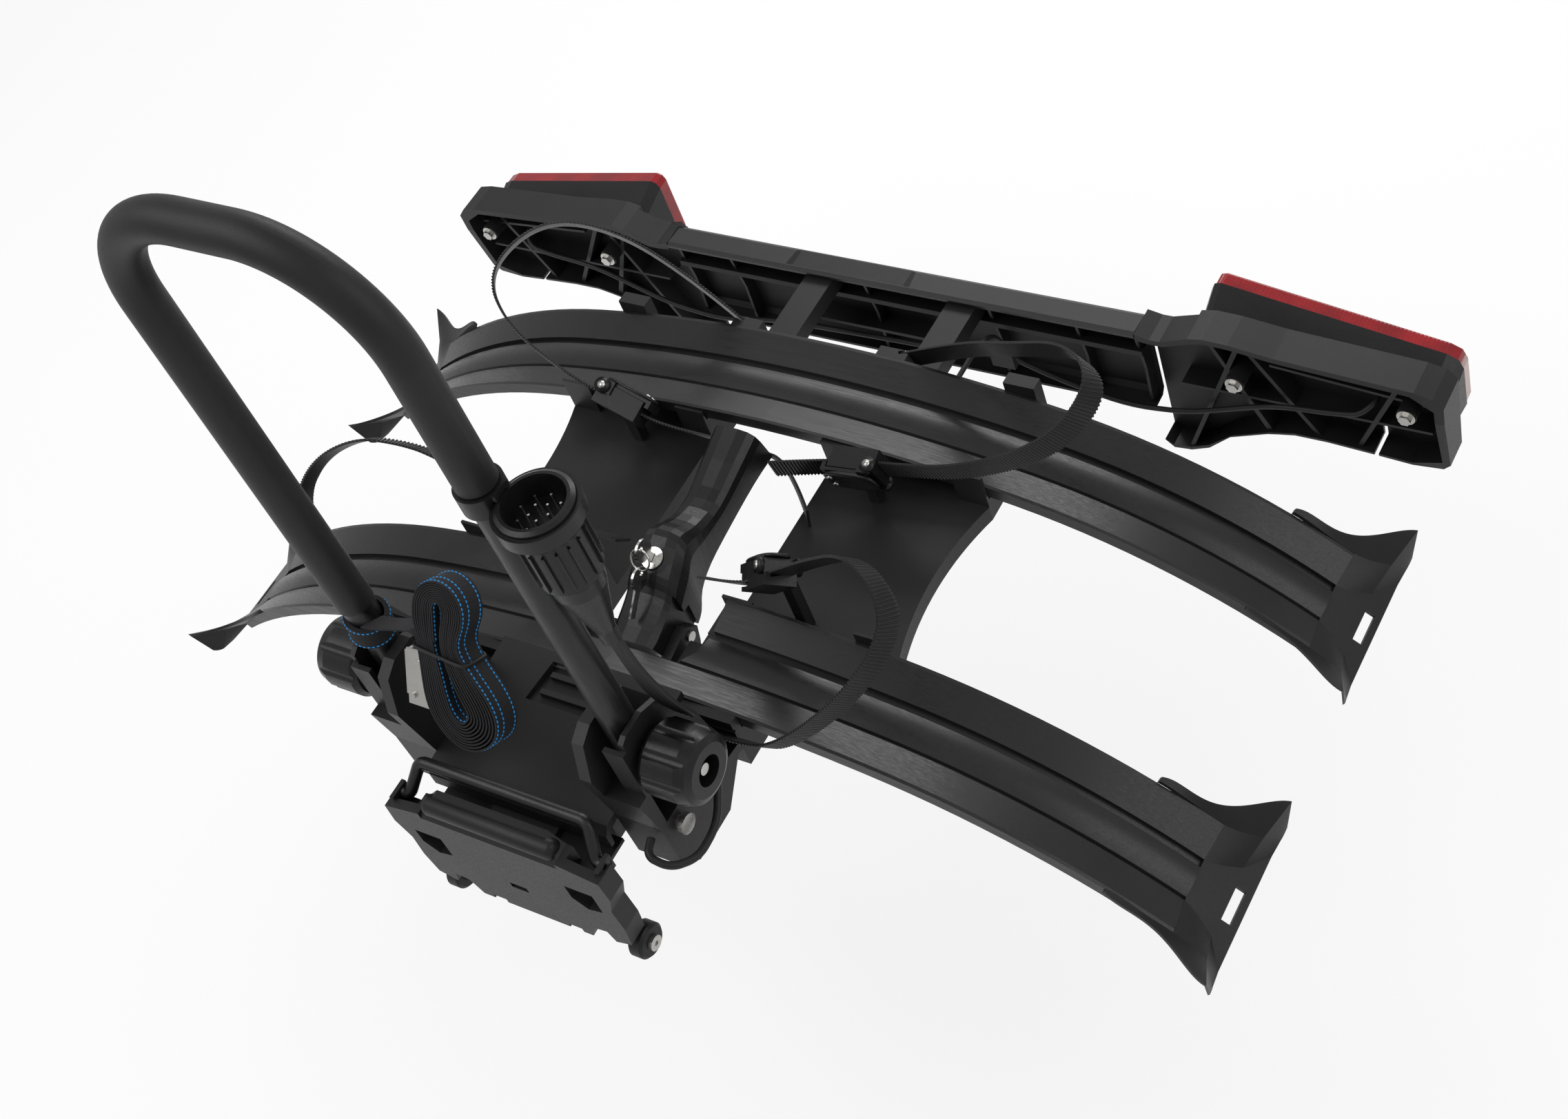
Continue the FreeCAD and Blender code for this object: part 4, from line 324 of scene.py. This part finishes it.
# Ratchet straps: toothed bands that follow the same points as the solids
STRAPS = {
    "rear_right": [(86, 345, -19), (157, 340, 20), (232, 310, 70), (312, 280, 124), (345, 252, 118),
                   (311, 220, 71), (222, 210, 22), (153, 205, 11), (114, 204, 6), (39, 184, 0)],
    "rear_left": [(-86, 345, -19), (-120, 342, 30), (-175, 325, 105), (-235, 300, 130), (-285, 255, 95),
                  (-255, 225, 62), (-190, 210, 30), (-125, 204, 10), (-98, 205, -6), (-47, 214, -20),
                  (0, 216, -22), (40, 205, -24), (82, 160, -26)],
    "front_right": [(84, -68, -11), (158, -67, -20), (197, -62, 0), (255, -40, 55), (280, 0, 90),
                    (275, 20, 115), (240, 40, 130), (185, 50, 89), (114, 60, 28), (97, 53, 20), (55, 49, 20)],
    "front_left": [(-84, -68, -11), (-200, -64, -5), (-300, -45, 20), (-332, -10, 60), (-300, 10, 105),
                   (-255, 30, 125), (-225, 45, 110), (-194, 50, 98), (-114, 60, 34), (-62, 63, 20),
                   (-37, 63, 20)],
}
BUCKLE_AT = {"rear_right": 8, "rear_left": 7, "front_right": 8, "front_left": 8}
TOOTH_WIDTH = 22.0
GAP_WIDTH = 21.2
TOOTH_TOP = 1.3
GAP_TOP = 0.4
STRAP_BACK = 1.1
STRAP_STEP = 0.8


def loop_of(name):
    """The strap's points as far as its buckle, and the direction square to the loop that they make."""
    loop = [Vector(p) for p in STRAPS[name][:BUCKLE_AT[name] + 1]]
    total = Vector((0, 0, 0))
    for i, here in enumerate(loop):
        total += here.cross(loop[(i + 1) % len(loop)])
    total.normalize()
    return loop, total if total.z > 0 else -total


def toothed_strap(name):
    loop, way = loop_of(name)
    rows = frames(smooth_line([at(*p) for p in STRAPS[name]], STRAP_STEP * MM), way)
    far_point, _, far_up = rows[len(rows) // 2]
    middle = at(*(sum(loop, Vector()) / len(loop)))
    outward = 1.0 if far_up.dot(far_point - middle) > 0 else -1.0
    verts = []
    for i, (here, side, up) in enumerate(rows):
        tooth = i % 4 in (1, 2)
        half = (TOOTH_WIDTH if tooth else GAP_WIDTH) / 2
        top = TOOTH_TOP if tooth else GAP_TOP
        for across, high in ((-half, -STRAP_BACK), (half, -STRAP_BACK), (half, top), (-half, top)):
            verts.append(here + side * across * MM + up * outward * high * MM)
    strap = new_piece(f"{name}_toothed_strap", verts, skin(len(rows), 4), STRAP)
    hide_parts(f"{name}_strap")
    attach(strap, "platform")


for strap_name in STRAPS:
    toothed_strap(strap_name)


# Rolled webbing on the left leg, wound from the inside out, with its stitched edges and its elastic tie
OUTER_ROLL = [(-18, 62), (-3, 57), (6, 42), (4, 24), (0, 8), (12, -10), (27, -26), (36, -45), (30, -65),
              (8, -77), (-16, -71), (-32, -54), (-38, -34), (-40, -12), (-43, 8), (-47, 26), (-43, 46),
              (-32, 58)]
INNER_ROLL = [(-20, 43), (-17, 41), (-15.5, 37), (-16.5, 28), (-18.5, 8), (-12, -14), (-4, -30), (4, -42),
              (4.5, -48), (0, -52.5), (-6, -50), (-11, -42), (-15, -30), (-19, -14), (-24, 8), (-24.5, 28),
              (-24.5, 37), (-23, 41)]
ROLL_TAIL = [(-50, 11), (-60, 9), (-70, 6.5), (-80, 4), (-90, 2), (-99.8, 1)]
ROLL_PLACE = at(0, -134, 140)
ROLL_LEAN = Matrix.Rotation(math.radians(58.7), 4, "X")
ROLL_MIDDLE = 12.5
ROLL_TURNS = 10
ROLL_START = 0.78
ROLL_FILL = 0.965
TURN_STEPS = 72
WEB_THICK = 1.35
WEB_WIDTH = 25.0
WEB_DRIFT = 0.12
ROLL_STITCH_ROWS = (-9.6, 3.6, 10.4)
ROLL_STITCH_OUT = 0.78
STITCH_LENGTH = 2.6
STITCH_GAP = 1.2
STITCH_RADIUS = 0.62
SPLINE_ROUNDS = 60
MODEL_UP = Vector((0, 0, 1))


def spline_bends(contour):
    """Second derivatives of the closed cubic spline through the contour's points."""
    points = [Vector(p) for p in contour]
    count = len(points)
    bends = [Vector((0, 0))] * count
    for _ in range(SPLINE_ROUNDS):
        for i in range(count):
            turn = points[(i + 1) % count] - 2 * points[i] + points[i - 1]
            bends[i] = (6 * turn - bends[i - 1] - bends[(i + 1) % count]) / 4
    return bends


def ring_point(contour, bends, part):
    """A point of the closed spline through a contour, that part of the way round."""
    place = part % 1.0 * len(contour)
    i = int(place)
    j = (i + 1) % len(contour)
    t = place - i
    u = 1 - t
    return (Vector(contour[i]) * u + Vector(contour[j]) * t + bends[i] * ((u ** 3 - u) / 6)
            + bends[j] * ((t ** 3 - t) / 6))


def rolled_line():
    """The band's middle line in the roll's plane, wound from the inner contour to the outer one."""
    inner_bends = spline_bends(INNER_ROLL)
    outer_bends = spline_bends(OUTER_ROLL)
    line = []
    for i in range(ROLL_TURNS * TURN_STEPS + 1):
        share = i / (ROLL_TURNS * TURN_STEPS) * ROLL_FILL
        part = i % TURN_STEPS / TURN_STEPS + ROLL_START
        inner = ring_point(INNER_ROLL, inner_bends, part)
        line.append(inner.lerp(ring_point(OUTER_ROLL, outer_bends, part), share))
    return line


def roll_to_model(u, v, w):
    """From the roll's plane, with w across the band from its middle, to the model."""
    return ROLL_LEAN @ Vector((u, v, w + ROLL_MIDDLE)) * MM + ROLL_PLACE


def square_at(line, i):
    """The direction square to a line in the roll's plane, at one of its points."""
    run = line[min(i + 1, len(line) - 1)] - line[max(i - 1, 0)]
    return Vector((-run.y, run.x)).normalized()


def webbing_roll(line):
    """The band along its middle line, with a slightly uneven edge."""
    verts = []
    half = WEB_WIDTH / 2
    for i, here in enumerate(line):
        side = square_at(line, i) * (WEB_THICK / 2)
        drift = WEB_DRIFT * (math.sin(i * 0.37) + 0.6 * math.sin(i * 0.11 + 1.3))
        for edge, w in ((here + side, half), (here - side, half), (here - side, -half), (here + side, -half)):
            verts.append(roll_to_model(edge.x, edge.y, w + drift))
    roll = new_piece("webbing_roll", verts, skin(len(line), 4), WEBBING)
    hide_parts("webbing_bundle")
    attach(roll, "mast")


def stitch_row(name, line, side_way):
    """A row of small oval stitches along a line."""
    verts = []
    faces = []
    dense = even_line(line, (STITCH_LENGTH + STITCH_GAP) * MM)
    for here, after in zip(dense, dense[1:]):
        run = (after - here).normalized()
        side = (side_way - run * side_way.dot(run)).normalized()
        up = run.cross(side)
        middle = (here + after) / 2
        faces += skin(4, 6, first=len(verts))
        for along, wide in ((-0.5, 0.35), (-0.25, 1.0), (0.25, 1.0), (0.5, 0.35)):
            radius = STITCH_RADIUS * wide * MM
            verts += oval(middle + run * along * STITCH_LENGTH * MM, side * radius, up * radius, 6)
    stitches = new_piece(name, verts, faces, STITCH, True)
    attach(stitches, "mast")


def stitches_on_roll(name, line, outward, across):
    row = []
    for i, here in enumerate(line):
        spot = here + square_at(line, i) * outward * ROLL_STITCH_OUT
        row.append(roll_to_model(spot.x, spot.y, across))
    stitch_row(name, row, ROLL_LEAN.to_3x3() @ MODEL_UP)


def stitched_roll():
    line = rolled_line()
    tail = [Vector(p) for p in ROLL_TAIL]
    webbing_roll(line + tail)
    outer_turn = line[-TURN_STEPS - 8:] + tail[:-1]
    inner_turn = line[:TURN_STEPS + 2]
    for number, across in enumerate(ROLL_STITCH_ROWS):
        stitches_on_roll(f"roll_outer_stitches_{number}", outer_turn, 1.0, across)
        stitches_on_roll(f"roll_inner_stitches_{number}", inner_turn, -1.0, across)


TIE_MIDDLE = -19.5
TIE_HALF_LENGTH = 26.2
TIE_HALF_WIDTH = 14.2
TIE_RADIUS = 1.5
TIE_SQUARENESS = 0.28


def roll_tie():
    """Elastic tie round the waist of the roll."""
    line = []
    half_axes = Vector((TIE_HALF_LENGTH, 0)), Vector((0, TIE_HALF_WIDTH))
    for u, w in oval(Vector((TIE_MIDDLE, 0)), *half_axes, 64, TIE_SQUARENESS):
        line.append(roll_to_model(u, -1.5 - (u + 19) * 0.10, w))
    tie = tube("roll_tie", line, TIE_RADIUS * MM, RUBBER, closed=True)
    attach(tie, "mast")


stitched_roll()
roll_tie()

# Stitched loop round the left leg
LOOP_TILT = Matrix.Rotation(math.radians(14), 4, "Y")
LOOP_PLACE = at(-117.6, -136, 130)
LOOP_BORE = 14.6
LOOP_EDGE = 18.3
LOOP_CROWN = 18.6
LOOP_HALF = 12.5
LOOP_STEPS = 96
LOOP_STITCH_ROWS = (-10.2, 10.2)


def loop_point(angle, radius, height):
    around = Vector((math.cos(angle) * radius, math.sin(angle) * radius, height))
    return LOOP_TILT @ around * MM + LOOP_PLACE


def loop_bulge(angle):
    return 0.35 * math.sin(angle * 2 + 0.6)


def stitched_loop():
    verts = []
    for i in range(LOOP_STEPS):
        angle = 2 * math.pi * i / LOOP_STEPS
        bulge = loop_bulge(angle)
        section = ((LOOP_EDGE + bulge, LOOP_HALF), (LOOP_CROWN + bulge, 0.0), (LOOP_EDGE + bulge, -LOOP_HALF),
                   (LOOP_BORE, -LOOP_HALF), (LOOP_BORE, LOOP_HALF))
        for radius, height in section:
            verts.append(loop_point(angle, radius, height + 0.25 * math.sin(angle * 3)))
    loop = new_piece("stitched_loop", verts, skin(LOOP_STEPS, 5, closed=True), WEBBING)
    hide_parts("webbing_loop")
    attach(loop, "mast")
    for number, height in enumerate(LOOP_STITCH_ROWS):
        line = []
        for i in range(LOOP_STEPS + 1):
            angle = 2 * math.pi * i / LOOP_STEPS
            line.append(loop_point(angle, LOOP_CROWN + loop_bulge(angle), height))
        stitch_row(f"loop_stitches_{number}", line, LOOP_TILT.to_3x3() @ MODEL_UP)


stitched_loop()

# Ratchet buckles: a rounded lever pad with two bright pins, and a pivot boss with its screw on either side
BUCKLE_BACK = 6
PAD_ALONG = 3.0
PAD_OUT = 13.4
PAD_LENGTH = 53.0
PAD_WIDTH = 28.0
PAD_THICK = 4.0
PAD_SIDES = 40
PAD_DOME = ((0.94, 0.0), (1.0, 0.18), (1.0, 0.6), (0.93, 0.86), (0.72, 1.0))
PIN_ALONG = 21.0
PIN_OUT = 16.8
PIN_HALF_GAP = 6.0
PIN_LENGTH = 1.4
PIN_RADIUS = 2.8
HINGE_BACK = 19.0
HINGE_OUT = 6.0
HINGE_HALF = 15.0
BOSS_LENGTH = 4.2
BOSS_RADIUS = 7.2
SCREW_LENGTH = 1.4
SCREW_RADIUS = 3.6


def buckle_axes(name):
    """A buckle's middle, and the directions along its strap, away from its base and across it."""
    loop, way = loop_of(name)
    run = (loop[-1] - loop[-2]).normalized()
    across = (way - run * way.dot(run)).normalized()
    out = across.cross(run) * (1 if name.startswith("rear") else -1)
    return at(*(loop[-1] - run * BUCKLE_BACK)), run, out, across


def lever_pad(name, centre, run, out, across):
    """A domed pad with rounded ends, lying on the lever's outer face."""
    verts = []
    for size, lift in PAD_DOME:
        verts += oval(centre + out * PAD_THICK * MM * lift, run * PAD_LENGTH / 2 * MM * size,
                      across * PAD_WIDTH / 2 * MM * size, PAD_SIDES, 0.7)
    pad = new_piece(f"{name}_lever_pad", verts, skin(len(PAD_DOME), PAD_SIDES), GLOSSY, True)
    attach(pad, f"{name}_buckle")


def buckle_rod(name, body, start, way, length, radius, sides, material):
    """A short round piece that rides on a buckle's lever, with its length and radius in mm."""
    rod = tube(name, [start, start + way * length * MM], radius * MM, material, sides=sides)
    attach(rod, body)


def buckle(name):
    centre, run, out, across = buckle_axes(name)
    body = f"{name}_buckle"
    lever_pad(name, centre + (run * PAD_ALONG + out * PAD_OUT) * MM, run, out, across)
    for letter, place in (("a", -PIN_HALF_GAP), ("b", PIN_HALF_GAP)):
        low = centre + (run * PIN_ALONG + across * place + out * PIN_OUT) * MM
        buckle_rod(f"{name}_pad_pin_{letter}", body, low, out, PIN_LENGTH, PIN_RADIUS, 20, CHROME)
    hinge = centre + (out * HINGE_OUT - run * HINGE_BACK) * MM
    for end, way in (("low", -across), ("high", across)):
        start = hinge + way * HINGE_HALF * MM
        tip = start + way * BOSS_LENGTH * MM
        buckle_rod(f"{name}_pivot_{end}", body, start, way, BOSS_LENGTH, BOSS_RADIUS, 24, GLOSSY)
        buckle_rod(f"{name}_screw_{end}", body, tip, way, SCREW_LENGTH, SCREW_RADIUS, 16, STEEL)


for strap_name in STRAPS:
    buckle(strap_name)

# Rounded ridge along the foot plate's top, with domed ends
RIDGE_HALF = 68
RIDGE_Y = -214.5
RIDGE_Z = 4.3
RIDGE_RADIUS = 9.4
RIDGE_SIDES = 32
RIDGE_ENDS = ((0.0, 0.30), (0.008, 0.68), (0.022, 0.90), (0.045, 1.0))


def foot_plate_ridge():
    """RIDGE_ENDS gives its size at shares of its length from one end, and is mirrored at the other."""
    start = at(RIDGE_HALF, RIDGE_Y, RIDGE_Z)
    end = at(-RIDGE_HALF, RIDGE_Y, RIDGE_Z)
    shape = list(RIDGE_ENDS) + [(1 - share, size) for share, size in reversed(RIDGE_ENDS)]
    verts = []
    for share, size in shape:
        radius = RIDGE_RADIUS * size * MM
        verts += oval(start.lerp(end, share), Vector((0, radius, 0)), Vector((0, 0, radius)), RIDGE_SIDES)
    ridge = new_piece("foot_plate_ridge", verts, skin(len(shape), RIDGE_SIDES), MOULDING, True)
    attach(ridge, "coupling")


foot_plate_ridge()


# Floor and light, in metres and watts
FLOOR_Z = -0.47
FLOOR_HALF = 12.0
FLOOR_WHITE = 0.72
SKY_LIGHT = 0.55


def make_floor():
    """A pale floor, which the camera sees mixed with plain white by the share FLOOR_WHITE."""
    n = Nodes("pale_floor")
    cloud = n.noise(0.8, 3.0)
    n.set(Base_Color=n.mix(n.spread(cloud, 0.3, 0.7, 0.0, 1.0), (0.90, 0.90, 0.90), (0.93, 0.93, 0.93)),
          Roughness=0.85)
    path = n.add("ShaderNodeLightPath")
    part = n.add("ShaderNodeMath", operation="MULTIPLY")
    n.link(path.outputs["Is Camera Ray"], part.inputs[0])
    part.inputs[1].default_value = FLOOR_WHITE
    white = n.add("ShaderNodeEmission", Strength=1.0)
    both = n.add("ShaderNodeMixShader")
    n.link(part.outputs[0], both.inputs[0])
    n.link(n.shader.outputs[0], both.inputs[1])
    n.link(white.outputs[0], both.inputs[2])
    n.link(both.outputs[0], n.out.inputs[0])
    corners = []
    for x, y in ((-1, -1), (1, -1), (1, 1), (-1, 1)):
        corners.append(Vector((x * FLOOR_HALF, y * FLOOR_HALF, FLOOR_Z)))
    floor = new_piece("floor", corners, [(0, 1, 2, 3)], n.material)


def world_light():
    """Plain white for the camera, and a softer white for everything else."""
    world = bpy.data.worlds.new("sky")
    world.use_nodes = True
    tree = world.node_tree
    tree.nodes.clear()
    out = tree.nodes.new("ShaderNodeOutputWorld")
    mix = tree.nodes.new("ShaderNodeMixShader")
    path = tree.nodes.new("ShaderNodeLightPath")
    tree.links.new(path.outputs["Is Camera Ray"], mix.inputs[0])
    for socket, strength in ((mix.inputs[1], SKY_LIGHT), (mix.inputs[2], 1.0)):
        light = tree.nodes.new("ShaderNodeBackground")
        light.inputs[0].default_value = (1, 1, 1, 1)
        light.inputs[1].default_value = strength
        tree.links.new(light.outputs[0], socket)
    tree.links.new(mix.outputs[0], out.inputs[0])
    scene.world = world


def area_light(name, place, target, size, power):
    data = bpy.data.lights.new(name, "AREA")
    data.shape = "RECTANGLE"
    data.size, data.size_y = size
    data.energy = power
    lamp = bpy.data.objects.new(name, data)
    scene.collection.objects.link(lamp)
    lamp.location = place
    lamp.rotation_euler = (Vector(target) - Vector(place)).to_track_quat("-Z", "Y").to_euler()


make_floor()
world_light()
area_light("key_light", place=(-1.2, -1.0, 2.4), target=(0, 0.2, 0.1), size=(2.2, 1.8), power=34)
area_light("fill_light", place=(2.2, 0.6, 1.6), target=(0, 0.2, 0.1), size=(1.8, 1.8), power=16)
area_light("back_light", place=(-0.6, 2.6, 1.6), target=(0, 0.3, 0.1), size=(2.2, 0.8), power=30)

scene.view_settings.view_transform = "Standard"
